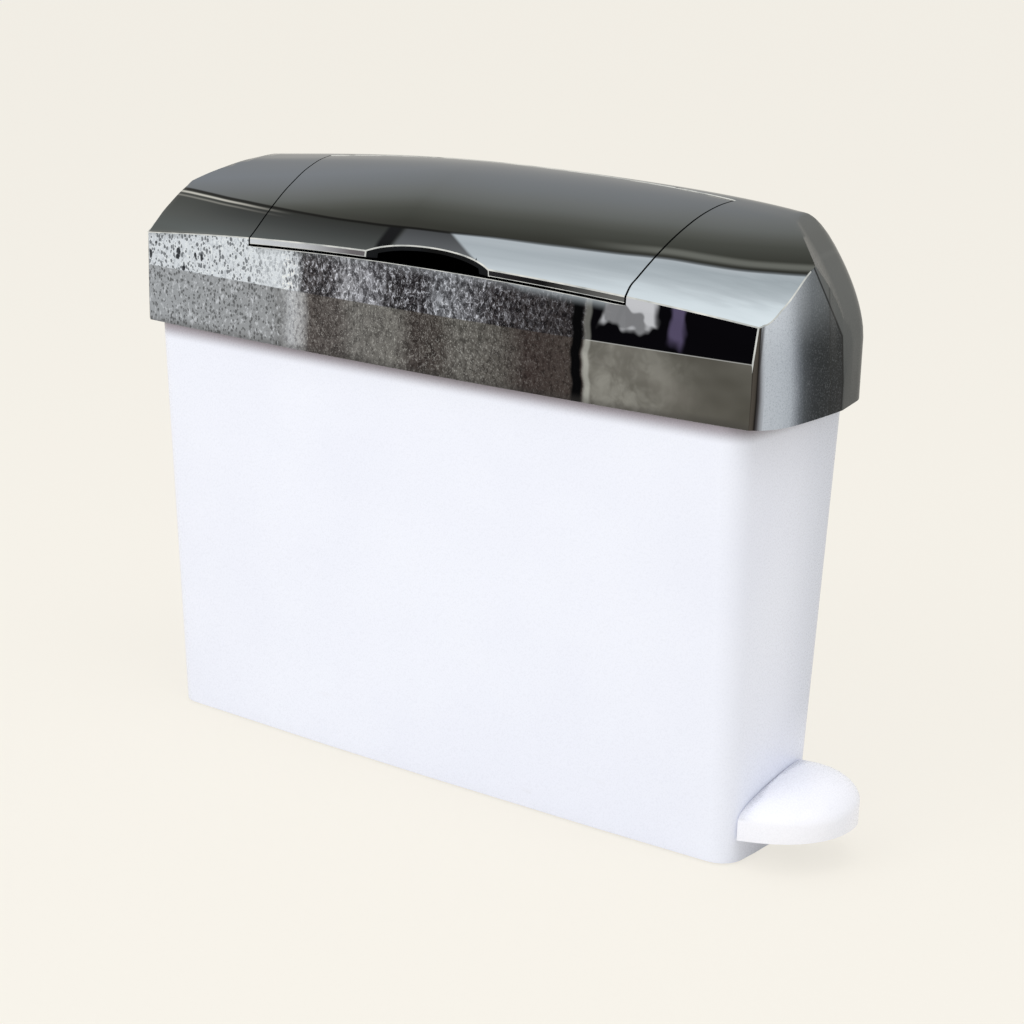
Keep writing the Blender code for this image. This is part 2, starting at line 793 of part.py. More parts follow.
def hood_core(name, inset, bottom, paint=None):
    """The hood's outer volume, moved inward by an inset and cut by the end faces."""
    rings = []
    for x in hood_stations:
        profile = inward(hood_profile(x), inset)
        profile[0] = (profile[0][0], bottom)
        profile[-1] = (profile[-1][0], bottom)
        rings.append([(x, y, z) for y, z in profile])
    core = loft(name, rings, paint)
    heights = (bottom - below_all, end_draft_start, arch_z, above_all)
    boolean(core, loft(f"{name}_ends", [main_end_ring(z, inset) for z in heights]), "INTERSECT")
    levels = [bottom - below_all]
    levels += [roll_start + roll_height * up for up in roll_levels]
    boolean(core, loft(f"{name}_rolls", [rear_end_ring(z, inset) for z in levels]), "INTERSECT")
    return core


# Flap region: a block over the middle of the dome, with flared sides
def flap_region(name, side, rear, low):
    """The block that parts the flap from the hood."""
    rings = []
    steps = 14
    for i in range(steps + 1):
        s = -1 + 2 * i / steps
        front_x = flap_middle + s * (flap_half_front - flap_flare * 0.15 + side)
        rear_x = flap_middle + s * (flap_half_front + flap_flare + side)
        front_y = -flap_front_beyond
        rear_y = flap_rear_end + flap_rear_bow * (1 - s * s) + rear
        z = arch_z - arch_drop * (front_x / hood_station) ** 2 - flap_lip - low
        rings.append([(front_x, front_y, z), (rear_x, rear_y, z), (rear_x, rear_y, above_all),
                      (front_x, front_y, above_all)])
    return loft(name, rings)


# Hood
hood = hood_core("hood", 0.0, hood_edge, chrome)
inner_core = hood_core("hood_inner", hood_wall, hood_edge - below_all)
boolean(hood, inner_core, "DIFFERENCE")
work = bmesh.new()
for sign_x in (-1, 1):
    for sign_y in (-1, 1):
        add_rod(work, "Z", (sign_x * frame_post_x, sign_y * frame_post_y), post_radius,
                frame_top + seat_gap, arch_z + dome_rise, 16)
posts = mesh_object("hood_posts", work)
boolean(posts, hood_core("post_limit", hood_wall / 2, hood_edge - below_all), "INTERSECT")
boolean(hood, posts, "UNION")
boolean(hood, flap_region("hood_mouth", side_gap, rear_gap, lip_gap), "DIFFERENCE")
work = bmesh.new()
for sign_x in (-1, 1):
    for sign_y in (-1, 1):
        add_rod(work, "Z", (sign_x * frame_post_x, sign_y * frame_post_y), screw_hole,
                frame_top - below_all / 2, frame_top + screw_length, 12)
boolean(hood, mesh_object("post_bores", work), "DIFFERENCE")

# Flap skin with its finger notch
hinge_origin = (0.0, hinge_y, hinge_z)
flap = hood_core("flap", 0.0, hood_edge, chrome)
boolean(flap, inner_core, "DIFFERENCE")
boolean(flap, flap_region("flap_block", 0.0, 0.0, 0.0), "INTERSECT")
notch = []
notch_front = hood_width_half_end + hood_side_bow
for z in (hood_edge, above_all):
    ring = [(notch_x + notch_half * cos(pi * i / 20),
             -notch_front + notch_depth * sin(pi * i / 20) ** 0.85, z) for i in range(21)]
    ring += [(notch_x - notch_half, -notch_front - below_all, z),
             (notch_x + notch_half, -notch_front - below_all, z)]
    notch.append(ring)
boolean(flap, loft("finger_notch", notch), "DIFFERENCE")


# Flap liner: a sheet that follows the skin from below
def liner_sheet(name, depth, bottom):
    """The space under the skin at a depth."""
    rings = []
    for i in range(13):
        x = liner_half * (-1 + i / 6)
        profile = inward(hood_profile(x), depth)
        profile[0] = (profile[0][0], bottom)
        profile[-1] = (profile[-1][0], bottom)
        rings.append([(x, y, z) for y, z in profile])
    return rings


liner_top = hood_wall + seat_gap
liner = loft("flap_liner", liner_sheet("liner_outer", liner_top, hood_edge), pale_plastic)
under = liner_sheet("liner_under", liner_top + liner_thick, hood_edge - below_all)
for ring in (under[0], under[-1]):
    for i, (x, y, z) in enumerate(ring):
        ring[i] = (x * 1.05, y, z)
boolean(liner, loft("liner_space", under), "DIFFERENCE")
boolean(liner, box("liner_block", (-liner_half * 1.1, liner_half * 1.1, -liner_front, liner_rear,
                                   hinge_z - dome_rise * 0.55, above_all)), "INTERSECT")
work = bmesh.new()
for sign in (-1, 1):
    ends = (sign * hub_inner * 0.965, sign * hub_outer)
    add_rod(work, "X", (hinge_y, hinge_z), hinge_hub, min(ends), max(ends), 20)
boolean(liner, mesh_object("liner_hubs", work), "UNION")
work = bmesh.new()
liner_mid = liner_top + liner_thick * 0.6
web_half = hinge_hub * 0.55
for sign in (-1, 1):
    web_top = surface_height(sign * liner_half, hinge_y - web_half) - liner_mid
    ends = (sign * hub_inner * 0.97, sign * liner_half * 0.996)
    add_box(work, min(ends), max(ends), hinge_y - web_half, hinge_y + web_half, hinge_z, web_top)
boolean(liner, mesh_object("hub_webs", work), "UNION")
work = bmesh.new()
cheek_inner = roller_half + cheek_gap
cheek_top = surface_height(rod_x, crank_y - roller_radius * 0.6) - liner_mid
for sign in (-1, 1):
    ends = (rod_x + sign * cheek_inner, rod_x + sign * (cheek_inner + cheek_thick))
    add_box(work, min(ends), max(ends), crank_y - roller_radius * 0.6, crank_y + roller_radius * 0.8,
            crank_z, cheek_top)
boolean(liner, mesh_object("crank_cheeks", work), "UNION")
work = bmesh.new()
for sign in (-1, 1):
    ends = (rod_x + sign * cheek_inner, rod_x + sign * (cheek_inner + cheek_thick))
    add_rod(work, "X", (crank_y, crank_z), roller_radius * 0.9, min(ends), max(ends), 16)
boolean(liner, mesh_object("cheek_ends", work), "UNION")
work = bmesh.new()
for sign in (-1, 1):
    ends = (sign * (pin_inner - gap), sign * pin_outer)
    add_rod(work, "X", (hinge_y, hinge_z), hinge_bore, min(ends), max(ends), 16)
boolean(liner, mesh_object("liner_bores", work), "DIFFERENCE")
pin_half = cheek_inner + cheek_thick
boolean(liner, rod("cheek_bore", "X", (crank_y, crank_z), roller_bore, rod_x - pin_half * 1.2,
                   rod_x + pin_half * 1.2, None, 14), "DIFFERENCE")

# Hinge pins, roller and its pin
for name, sign in (("hinge_pin_left", -1), ("hinge_pin_right", 1)):
    ends = (sign * pin_inner, sign * pin_outer)
    smooth(rod(name, "X", (hinge_y, hinge_z), hinge_radius, min(ends), max(ends), steel, 16,
               hinge_origin))
roller = rod("crank_roller", "X", (crank_y, crank_z), roller_radius, rod_x - roller_half,
             rod_x + roller_half, nylon, 24, hinge_origin)
smooth(boolean(roller, rod("roller_bore", "X", (crank_y, crank_z), roller_bore,
                           rod_x - pin_half, rod_x + pin_half, None, 14), "DIFFERENCE"))
smooth(rod("roller_pin", "X", (crank_y, crank_z), roller_pin_radius, rod_x - pin_half,
           rod_x + pin_half, steel, 14, hinge_origin))

# Lid frame
frame = loft("lid_frame", [
    [(x, y, frame_under) for x, y, z in body_ring(shoulder_z, -hood_side_bow)],
    [(x, y, frame_top) for x, y, z in body_ring(shoulder_z, -hood_side_bow)],
], grey_plastic)
boolean(frame, hood_core("frame_limit", hood_wall + slip_gap, hood_edge - below_all), "INTERSECT")
skirt_inset = neck_inset + body_wall + slip_gap
skirt = loft("frame_skirt", [body_ring(frame_skirt_bottom, skirt_inset),
                             body_ring(frame_under + frame_thick / 2, skirt_inset)])
skirt_hole = skirt_inset + frame_skirt_wall
boolean(skirt, loft("skirt_hole", [body_ring(frame_skirt_bottom - below_all, skirt_hole),
                                   body_ring(frame_top + below_all, skirt_hole)]), "DIFFERENCE")
boolean(frame, skirt, "UNION")
lug_places = ((-mouth_left + gap, -1), (mouth_right - gap, 1))
work = bmesh.new()
for edge, sign in lug_places:
    ends = (edge, edge + sign * lug_thick)
    add_box(work, min(ends), max(ends), modesty_y - lug_half, modesty_y + lug_half, lug_bottom,
            frame_under + frame_thick / 2)
boolean(frame, mesh_object("modesty_lugs", work), "UNION")
mouth_ring = []
for side in range(4):
    centre_x = mouth_right - mouth_corner if side in (0, 3) else -mouth_left + mouth_corner
    centre_y = mouth_rear - mouth_corner if side in (0, 1) else -mouth_front + mouth_corner
    for i in range(6):
        turn = pi / 2 * (side + i / 5)
        mouth_ring.append((centre_x + mouth_corner * cos(turn), centre_y + mouth_corner * sin(turn)))
boolean(frame, loft("mouth_hole", [[(x, y, z) for x, y in mouth_ring] for z in
                                   (frame_under - below_all, frame_top + below_all)]), "DIFFERENCE")
work = bmesh.new()
add_rod(work, "Z", (rod_x, rod_y), rod_pass, frame_under - below_all, frame_top + below_all, 24)
frame_screws = [(sx * frame_post_x, sy * frame_post_y) for sx in (1, -1) for sy in (-1, 1)]
bracket_screw_x = bracket_inner + bracket_thick + bracket_foot * 0.6
bracket_screws = [(sign * bracket_screw_x, hinge_y) for sign in (-1, 1)]
for place in frame_screws + bracket_screws:
    add_rod(work, "Z", place, screw_hole, frame_under - below_all, frame_top + below_all, 12)
for edge, sign in lug_places:
    ends = (edge - sign * lug_thick, edge + sign * lug_thick * 2)
    add_rod(work, "X", (modesty_y, modesty_z), modesty_bore, min(ends), max(ends), 14)
boolean(frame, mesh_object("frame_bores", work), "DIFFERENCE")
for index, (x, y) in enumerate(frame_screws, 1):
    work = bmesh.new()
    head = frame_under - gap
    add_rod(work, "Z", (x, y), screw_head, head - screw_head_thick, head, 12)
    shank = rod(f"frame_shank_{index}", "Z", (x, y), screw_radius, head - screw_head_thick / 2,
                head + screw_length, None, 10)
    boolean(mesh_object(f"frame_screw_{index}", work, steel), shank, "UNION")

# Hinge brackets, each a plate on a foot
foot_low = frame_top + seat_gap
for name, sign, place in (("hinge_bracket_left", -1, bracket_screws[0]),
                          ("hinge_bracket_right", 1, bracket_screws[1])):
    outline = [(-bracket_base_half, foot_low)]
    for i in range(7):
        turn = pi - pi * i / 6
        outline.append((bracket_top_half * cos(turn), hinge_z + (bracket_top_half - seat_gap) * sin(turn)))
    outline.append((bracket_base_half, foot_low))
    faces = [sign * bracket_inner, sign * (bracket_inner + bracket_thick)]
    plate = loft(name, [[(x, hinge_y + y, z) for y, z in outline] for x in faces], pale_plastic)
    feet = (faces[0] + sign * gap, faces[1] + sign * bracket_foot)
    boolean(plate, box(f"{name}_foot", (min(feet), max(feet), hinge_y - bracket_base_half * 0.95,
                                        hinge_y + bracket_base_half * 0.95, foot_low + gap / 10,
                                        foot_low + bracket_foot_thick)), "UNION")
    work = bmesh.new()
    add_rod(work, "X", (hinge_y, hinge_z), hinge_bore, min(faces) - below_all,
            max(faces) + below_all, 16)
    add_rod(work, "Z", place, screw_hole, foot_low - below_all / 4, foot_low + below_all, 12)
    boolean(plate, mesh_object(f"{name}_bores", work), "DIFFERENCE")
    work = bmesh.new()
    low = foot_low + bracket_foot_thick + gap
    add_rod(work, "Z", place, screw_head, low, low + screw_head_thick, 12)
    shank = rod(f"{name}_shank", "Z", place, screw_radius, frame_under - screw_radius,
                low + screw_head_thick / 2, None, 10)
    boolean(mesh_object(name.replace("bracket", "screw"), work, steel), shank, "UNION")

# Modesty flap with its pins and springs
modesty_origin = (0.0, modesty_y, modesty_z)
modesty = box("modesty_flap", (-modesty_left, modesty_right, -modesty_front, modesty_y,
                               modesty_z - modesty_thick / 2, modesty_z + modesty_thick / 2),
              pale_plastic, modesty_origin)
hub_left = -modesty_left + spring_length + seat_gap
hub_right = modesty_right - spring_length - seat_gap
boolean(modesty, box("modesty_relief", (-modesty_left * 1.1, hub_left, modesty_y - modesty_hub * 1.6,
                                        modesty_y * 2, 0.0, above_all)), "DIFFERENCE")
boolean(modesty, box("modesty_relief_right", (hub_right, modesty_right * 1.1,
                                              modesty_y - modesty_hub * 1.6, modesty_y * 2, 0.0,
                                              above_all)), "DIFFERENCE")
boolean(modesty, rod("modesty_barrel", "X", (modesty_y, modesty_z), modesty_hub, hub_left - gap / 2,
                     hub_right + gap / 2, None, 20), "UNION")
work = bmesh.new()
for start, end in ((hub_left - below_all, hub_left + pin_engage + gap),
                   (hub_right - pin_engage - gap, hub_right + below_all)):
    add_rod(work, "X", (modesty_y, modesty_z), modesty_bore, start, end, 14)
boolean(modesty, mesh_object("modesty_bores", work), "DIFFERENCE")
for side, hub_end, (edge, sign) in (("left", hub_left, lug_places[0]), ("right", hub_right, lug_places[1])):
    ends = (hub_end - sign * pin_engage, edge + sign * lug_thick)
    smooth(rod(f"modesty_pin_{side}", "X", (modesty_y, modesty_z), modesty_pin, min(ends), max(ends),
               steel, 14))
    coil = bpy.data.curves.new(f"modesty_spring_{side}_path", "CURVE")
    coil.dimensions = "3D"
    coil.bevel_depth = spring_wire
    coil.bevel_resolution = 0
    coil.use_fill_caps = True
    line = coil.splines.new("POLY")
    count = spring_turns * 10
    line.points.add(count)
    run = spring_length - spring_wire * 2 - seat_gap
    start = edge - sign * (spring_wire + gap)
    for i in range(count + 1):
        turn = 2 * pi * spring_turns * i / count
        line.points[i].co = (start - sign * run * i / count, modesty_y + spring_radius * cos(turn),
                             modesty_z + spring_radius * sin(turn), 1.0)
    made = bpy.data.objects.new(f"modesty_spring_{side}", coil)
    coil.materials.append(steel)
    parts.objects.link(made)
for made in parts.objects:
    if made.type == "MESH":
        smooth(made)

# The origin lies midway between the hood's far end and the pedal's tip
pedal_tip = pedal_root + pedal_reach + pedal_flare
for made in list(parts.objects) + list(cutters.objects):
    made.location.x -= (pedal_tip - hood_end) / 2
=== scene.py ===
from math import cos, hypot, pi, radians, sin

import bmesh
import bpy
from mathutils import Matrix, Vector


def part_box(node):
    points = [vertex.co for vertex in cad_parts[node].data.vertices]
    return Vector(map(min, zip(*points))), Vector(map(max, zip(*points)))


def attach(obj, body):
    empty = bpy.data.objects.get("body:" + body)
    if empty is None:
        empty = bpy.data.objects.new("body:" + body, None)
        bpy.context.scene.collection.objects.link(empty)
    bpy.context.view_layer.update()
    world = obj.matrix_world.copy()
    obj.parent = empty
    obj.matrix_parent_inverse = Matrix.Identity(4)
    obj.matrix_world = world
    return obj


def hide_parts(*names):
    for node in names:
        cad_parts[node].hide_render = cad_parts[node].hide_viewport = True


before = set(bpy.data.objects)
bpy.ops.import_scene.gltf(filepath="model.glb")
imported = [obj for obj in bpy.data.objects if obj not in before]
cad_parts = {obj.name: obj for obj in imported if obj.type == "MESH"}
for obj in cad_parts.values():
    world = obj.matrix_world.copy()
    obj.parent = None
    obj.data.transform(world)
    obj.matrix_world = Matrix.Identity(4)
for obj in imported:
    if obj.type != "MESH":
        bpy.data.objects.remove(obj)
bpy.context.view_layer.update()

bl_info = {
    "name": "Pedal Sanitary Bin",
    "version": (1, 0, 0),
    "blender": (4, 5, 0),
    "location": "View3D > Sidebar > Bin",
    "description": "Dresses a slim pedal bin: chromed hood and flap, white body, pedal and inner works",
    "category": "Object",
}


def middle(low, high):
    return [(first + last) / 2 for first, last in zip(low, high)]


# The hood is drawn about the middle of its length, which lies here in the frame
hood_low, hood_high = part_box("hood")
middle_x = middle(hood_low, hood_high)[0]


# Node trees
def sign(operation, swapped=False):
    """What an arithmetic sign does between a node's value and another value or number."""
    def work(self, other):
        pair = (other, self) if swapped else (self, other)
        return self.nodes.math(operation, *pair)
    return work


class Value:
    """What a node gives out. The usual signs between two numbers add a math node."""
    __add__ = sign("ADD")
    __sub__ = sign("SUBTRACT")
    __rsub__ = sign("SUBTRACT", swapped=True)
    __mul__ = sign("MULTIPLY")
    __truediv__ = sign("DIVIDE")

    def __init__(self, nodes, socket):
        self.nodes = nodes
        self.socket = socket

    def __abs__(self):
        return self.nodes.math("ABSOLUTE", self)

    def step(self, start, end, low=0.0, high=1.0):
        """A smooth change from low to high while the value goes from start to end."""
        return self.nodes.get("ShaderNodeMapRange", enumerate((self, start, end, low, high)),
                              interpolation_type="SMOOTHSTEP")

    def span(self, start, end):
        """The value's place between start and end, 0 to 1."""
        return self.nodes.get("ShaderNodeMapRange", enumerate((self, start, end, 0.0, 1.0)))

    def between(self, start, end, soft):
        """One inside a span, zero outside, with soft sides."""
        return self.step(start - soft, start + soft) * self.step(end - soft, end + soft, 1.0, 0.0)


class Nodes:
    """A node tree under construction: its nodes are added and joined by short calls."""

    def __init__(self, tree):
        self.tree = tree

    def add(self, kind, inputs=(), **settings):
        node = self.tree.nodes.new(kind)
        for key, value in settings.items():
            setattr(node, key, value)
        for name, value in dict(inputs).items():
            self.join(value, node.inputs[name])
        return node

    def get(self, kind, inputs=(), output=0, **settings):
        """One output of a new node."""
        return Value(self, self.add(kind, inputs, **settings).outputs[output])

    def join(self, value, socket):
        if isinstance(value, Value):
            value = value.socket
        if isinstance(value, bpy.types.NodeSocket):
            self.tree.links.new(value, socket)
        else:
            socket.default_value = value

    def math(self, operation, *values, clamp=False):
        return self.get("ShaderNodeMath", enumerate(values), operation=operation, use_clamp=clamp)


# Materials
def srgb(red, green, blue):
    """A colour as it is seen, 0 to 255, turned to the linear value that nodes use."""
    def linear(value):
        value /= 255
        return value / 12.92 if value <= 0.04045 else ((value + 0.055) / 1.055) ** 2.4
    return (linear(red), linear(green), linear(blue), 1.0)


def grey(level):
    return srgb(level, level, level)


def shown(red, green, blue):
    """The base colour that a mirror needs to be seen as this among the warm surroundings."""
    return tuple(want / around for want, around in zip(srgb(red, green, blue), srgb(245, 241, 232)))


def seen(*stops):
    """Ramp stops for the chrome: a place from 0 to 1, then the colour as it is seen."""
    return [(place, shown(*colour)) for place, *colour in stops]


class Finish(Nodes):
    """A material under construction."""

    def __init__(self, name):
        self.material = bpy.data.materials.new(name)
        self.material.use_nodes = True
        super().__init__(self.material.node_tree)
        self.shader = self.tree.nodes["Principled BSDF"]
        self.place = self.add("ShaderNodeTexCoord").outputs

    def ramp(self, value, stops):
        """Colours at places from 0 to 1."""
        node = self.add("ShaderNodeValToRGB", {0: value})
        elements = node.color_ramp.elements
        elements[0].position, elements[0].color = stops[0]
        elements[1].position, elements[1].color = stops[-1]
        for position, colour in stops[1:-1]:
            elements.new(position).color = colour
        return Value(self, node.outputs[0])

    def blend(self, share, first, second, kind="MIX"):
        return self.get("ShaderNodeMix", {0: share, 6: first, 7: second}, 2, data_type="RGBA",
                        blend_type=kind)

    def layered(self, base, *layers):
        """The base under layers, each of them a share and then its tone as it is seen."""
        for share, *tone in layers:
            base = self.blend(share, base, shown(*tone))
        return base

    def stretched(self, x, y, z, turn=0.0):
        """Object coordinates, turned about y and scaled on each axis."""
        return self.get("ShaderNodeMapping", {"Vector": self.place["Object"], "Scale": (x, y, z),
                                              "Rotation": (0.0, turn, 0.0)})

    def noise(self, size, detail=2.0, where=None, rough=0.5):
        """Noise whose lumps are about this size in metres."""
        return self.get("ShaderNodeTexNoise", {
            "Vector": where or self.place["Object"], "Scale": 1.0 / size, "Detail": detail,
            "Roughness": rough}, "Fac")

    def warped(self, size, amount, where=None):
        """Coordinates shaken by a noise, so that what they carry loses its round shapes."""
        place = where or self.place["Object"]
        shake = self.get("ShaderNodeTexNoise", {"Vector": place, "Scale": 1.0 / size}, "Color")
        shake = self.get("ShaderNodeVectorMath", {0: shake, "Scale": amount}, operation="SCALE")
        return self.get("ShaderNodeVectorMath", {0: place, 1: shake}, operation="ADD")

    def dots(self, size, where, rare, small, large):
        """How far a point lies outside the round dots in Voronoi cells of about this size.

        Each cell's dot is small, and large only where its random value is well above rare.
        """
        node = self.add("ShaderNodeTexVoronoi", {"Vector": where, "Scale": 1.0 / size})
        chance = self.get("ShaderNodeSeparateColor", {0: node.outputs["Color"]})
        return Value(self, node.outputs["Distance"]) - chance.step(rare, 1.0, small, large)

    def axes(self, output="Object"):
        node = self.add("ShaderNodeSeparateXYZ", {0: self.place[output]})
        return [Value(self, socket) for socket in node.outputs]

    def bump(self, height, depth, before=None):
        """A bump of a real depth in metres."""
        inputs = {"Distance": depth, "Height": height}
        if before is not None:
            inputs["Normal"] = before
        return self.get("ShaderNodeBump", inputs)

    def finish(self, colour, rough, normal=None, metal=0.0, **sockets):
        inputs = {"Base Color": colour, "Roughness": rough, "Metallic": metal}
        if normal is not None:
            inputs["Normal"] = normal
        for name, value in sockets.items():
            inputs[name.replace("_", " ")] = value
        for name, value in inputs.items():
            self.join(value, self.shader.inputs[name])
        return self.material


# The chrome's painted reflections, in metres: x from the hood's middle, y and z as in the frame
sweep_z, sweep_slant = 0.404, 2.6
pattern_half = 0.28
lip_fall = 0.187


def dome_colour(made, x, z, ny):
    """Painted reflections on the dome: the crown goes from blue grey down to olive; a painted sweep
    parts it from the lower slope.
    """
    # The sweep's height along the hood
    wave = made.noise(0.05, 1.0, made.stretched(1.0, 0.2, 0.2))
    line = x.step(-0.11, 0.07, 0.4042, 0.4070) + x.step(0.175, 0.245, 0.0, -0.0024)
    above = z - (wave * 0.0010 + line)

    left = made.math("MAXIMUM", x * -0.13 - 0.0039, 0.0)
    lift = made.noise(0.09, 1.0) * 0.003 + (z + left)
    crown = made.ramp(lift.span(sweep_z, sweep_z + 0.040), seen(
        (0.0, 40, 40, 37), (0.19, 54, 55, 50), (0.39, 71, 73, 68), (0.48, 84, 86, 82),
        (0.58, 98, 101, 99), (0.69, 107, 110, 110), (0.80, 113, 117, 120), (1.0, 122, 127, 133)))
    # Painted reflections: a darker band just above the sweep on the left, a paler streak above it on
    # the right
    near_line = x.between(-0.14, 0.0, 0.04) * above.step(0.0, 0.006, 0.45, 0.0)
    streak = above.between(0.0022, 0.0052, 0.0012) * x.step(0.10, 0.19, 0.0, 0.75)
    crown = made.layered(crown, (ny.step(0.35, 0.95), 84, 88, 92), (near_line, 58, 58, 54),
                         (streak, 112, 114, 108))

    # Below the sweep: painted reflections, pale and streaked on the right, dark on the left
    fan = made.noise(0.0065, 2.0, made.stretched(0.06, 1.0, 1.0))
    pale_place = (fan - 0.5) * 0.010 + above
    pale = made.ramp(pale_place.span(-0.026, 0.0), seen(
        (0.0, 216, 226, 231), (0.25, 206, 216, 221), (0.45, 184, 193, 198), (0.64, 168, 177, 182),
        (0.82, 156, 165, 170), (1.0, 170, 178, 183)))
    pale = made.layered(pale, ((1.0 - x.step(0.09, 0.24)) * 0.35, 180, 188, 194))
    low_left = made.ramp(above.span(-0.022, 0.0), seen(
        (0.0, 92, 98, 98), (0.35, 79, 82, 81), (0.60, 64, 67, 66), (0.80, 54, 56, 55),
        (0.93, 48, 50, 48), (1.0, 40, 41, 39)))
    # Painted highlight: thin bright glint lines below the sweep on the left
    glint = above.between(-0.0022, -0.0012, 0.0004) + above.between(-0.0044, -0.0036, 0.0005) * 0.35
    glint = made.math("MULTIPLY", glint, x.step(-0.13, -0.23, 0.0, 0.95), clamp=True)
    low_left = made.layered(low_left, (x.step(-0.18, -0.27) * 0.45, 84, 87, 83),
                            (glint, 206, 204, 194))
    # Painted reflections: a grey mist on the left of the slope and a near black bar beside it
    mist = made.ramp(above.span(-0.018, 0.0), seen(
        (0.0, 150, 154, 158), (0.35, 96, 99, 102), (1.0, 66, 68, 70)))
    under = made.blend(x.step(-0.027, -0.021), low_left, mist)
    under = made.layered(under, (x.between(-0.039, -0.026, 0.0025), 22, 23, 25))
    slope_x = x + (z * sweep_slant - sweep_z * sweep_slant)
    under = made.blend(slope_x.step(0.019, 0.024), under, pale)

    # The slope shows only on the front side; a painted black reflection line lies between the two
    front = ny.step(-0.02, -0.12)
    soft = x.step(-0.02, 0.10, 0.0004, 0.0010)
    edge = above.step(soft * -1.0, soft)
    dome = made.blend((1.0 - edge) * front, crown, under)
    dark = above.between(-0.0006, 0.0007, 0.0004) * front * x.step(-0.02, 0.06, 0.95, 0.50)
    return made.layered(dome, (dark, 18, 18, 17))


def beaded_colour(made, size, across, low_part):
    """Painted reflections on the beading: dark pits on the pale part of the bands, glittering worms on
    the dark part; the pits and worms also make the real bump relief.
    """
    place = across.span(-pattern_half, pattern_half)
    # Painted reflection zones along the upper and lower bands
    upper = made.ramp(place, seen(
        (0.0, 214, 219, 223), (0.245, 216, 221, 224), (0.265, 196, 200, 203), (0.278, 70, 66, 66),
        (0.325, 74, 71, 72), (0.350, 138, 138, 141), (0.395, 126, 126, 130), (0.425, 56, 53, 54),
        (0.480, 52, 49, 51), (0.505, 128, 130, 134), (0.545, 98, 98, 101), (0.585, 52, 48, 49),
        (0.700, 50, 46, 46), (0.735, 34, 32, 33), (0.760, 12, 12, 14)))
    lower = made.ramp(place, seen(
        (0.0, 158, 161, 163), (0.215, 148, 150, 151), (0.240, 130, 131, 131), (0.258, 176, 178, 180),
        (0.276, 160, 160, 160), (0.290, 76, 70, 67), (0.340, 80, 75, 72), (0.365, 102, 100, 96),
        (0.430, 106, 104, 99), (0.460, 62, 56, 53), (0.500, 68, 63, 59), (0.530, 92, 90, 85),
        (0.590, 84, 81, 76), (0.630, 58, 50, 47), (0.700, 66, 59, 55)))

    shaken = made.warped(size * 0.6, size * 0.45, made.stretched(1.0, 1.0, 0.8))
    roomy = made.warped(size, size * 0.9, made.stretched(1.1, 1.0, 0.7))
    slant = made.stretched(1.15, 1.0, 0.78, 0.5)
    even = made.dots(size * 0.68, shaken, 0.0, 0.30, 0.52)
    pits = even.step(-0.10, 0.04, 1.0, 0.0)
    rims = even.between(0.05, 0.14, 0.04)
    big = made.dots(size * 1.7, roomy, 0.50, -0.05, 0.36).step(-0.06, 0.03, 1.0, 0.0)
    small = made.dots(size * 0.60, shaken, 0.0, 0.22, 0.54).step(-0.10, 0.05, 1.0, 0.0)
    worms = made.noise(size * 0.80, 3.0, slant, 0.66)
    bright = worms.step(0.515, 0.68)
    dark = worms.step(0.49, 0.38)
    hollow = made.dots(size * 0.95, made.warped(size * 0.8, size * 0.7, slant), 0.0, 0.30, 0.56)
    drops = hollow.between(0.03, 0.10, 0.04) * worms.step(0.44, 0.57)
    fleck = made.noise(size * 0.26, 2.0, made.stretched(1.0, 1.0, 0.75), 0.8).step(0.545, 0.66)

    pale_side = across.step(-0.150, -0.138, 1.0, 0.0)
    upper_pale = pale_side * (1.0 - low_part)
    lower_pale = pale_side * low_part
    upper_dark = (1.0 - pale_side) * (1.0 - low_part)
    lower_dark = (1.0 - pale_side) * low_part
    thin = across.step(-0.19, -0.155, 0.95, 0.30)
    fade = across.step(0.02, 0.095, 1.0, 0.28)
    # Painted reflections and highlights on the beads: dark pits and hollows, bright rims, glittering
    # worms, drops and flecks
    touches = (
        (worms.step(0.52, 0.40), upper_pale, 0.38, (120, 126, 131), "MIX"),
        (pits, upper_pale, thin * 0.78, (58, 61, 65), "MIX"),
        (rims, upper_pale, 0.60, (240, 244, 246), "MIX"),
        (big, upper_pale, thin, (34, 36, 40), "MIX"),
        (small, lower_pale, 0.80, (78, 79, 79), "MIX"),
        (bright, lower_pale, 0.62, (214, 217, 220), "MIX"),
        (dark, upper_dark, 0.80, (70, 66, 68), "MULTIPLY"),
        (bright, upper_dark, fade * 0.7, (150, 152, 157), "ADD"),
        (hollow.step(-0.12, 0.02, 1.0, 0.0), upper_dark, 0.55, (36, 34, 37), "MIX"),
        (drops, upper_dark, fade, (172, 174, 179), "ADD"),
        (drops, lower_dark, fade * 0.22, (128, 126, 121), "ADD"),
        (fleck, upper_dark, fade * 0.6, (140, 142, 146), "ADD"),
        (dark, lower_dark, 0.55, (120, 114, 110), "MULTIPLY"),
        (fleck, lower_dark, fade * 0.80, (132, 131, 127), "ADD"),
        (bright, lower_dark, fade * 0.35, (110, 108, 104), "ADD"),
    )
    beaded = made.blend(low_part, upper, lower)
    for mask, zone, share, tone, kind in touches:
        beaded = made.blend(mask * zone * share, beaded, shown(*tone), kind)
    return beaded, pits * -0.5 + worms * 2.0


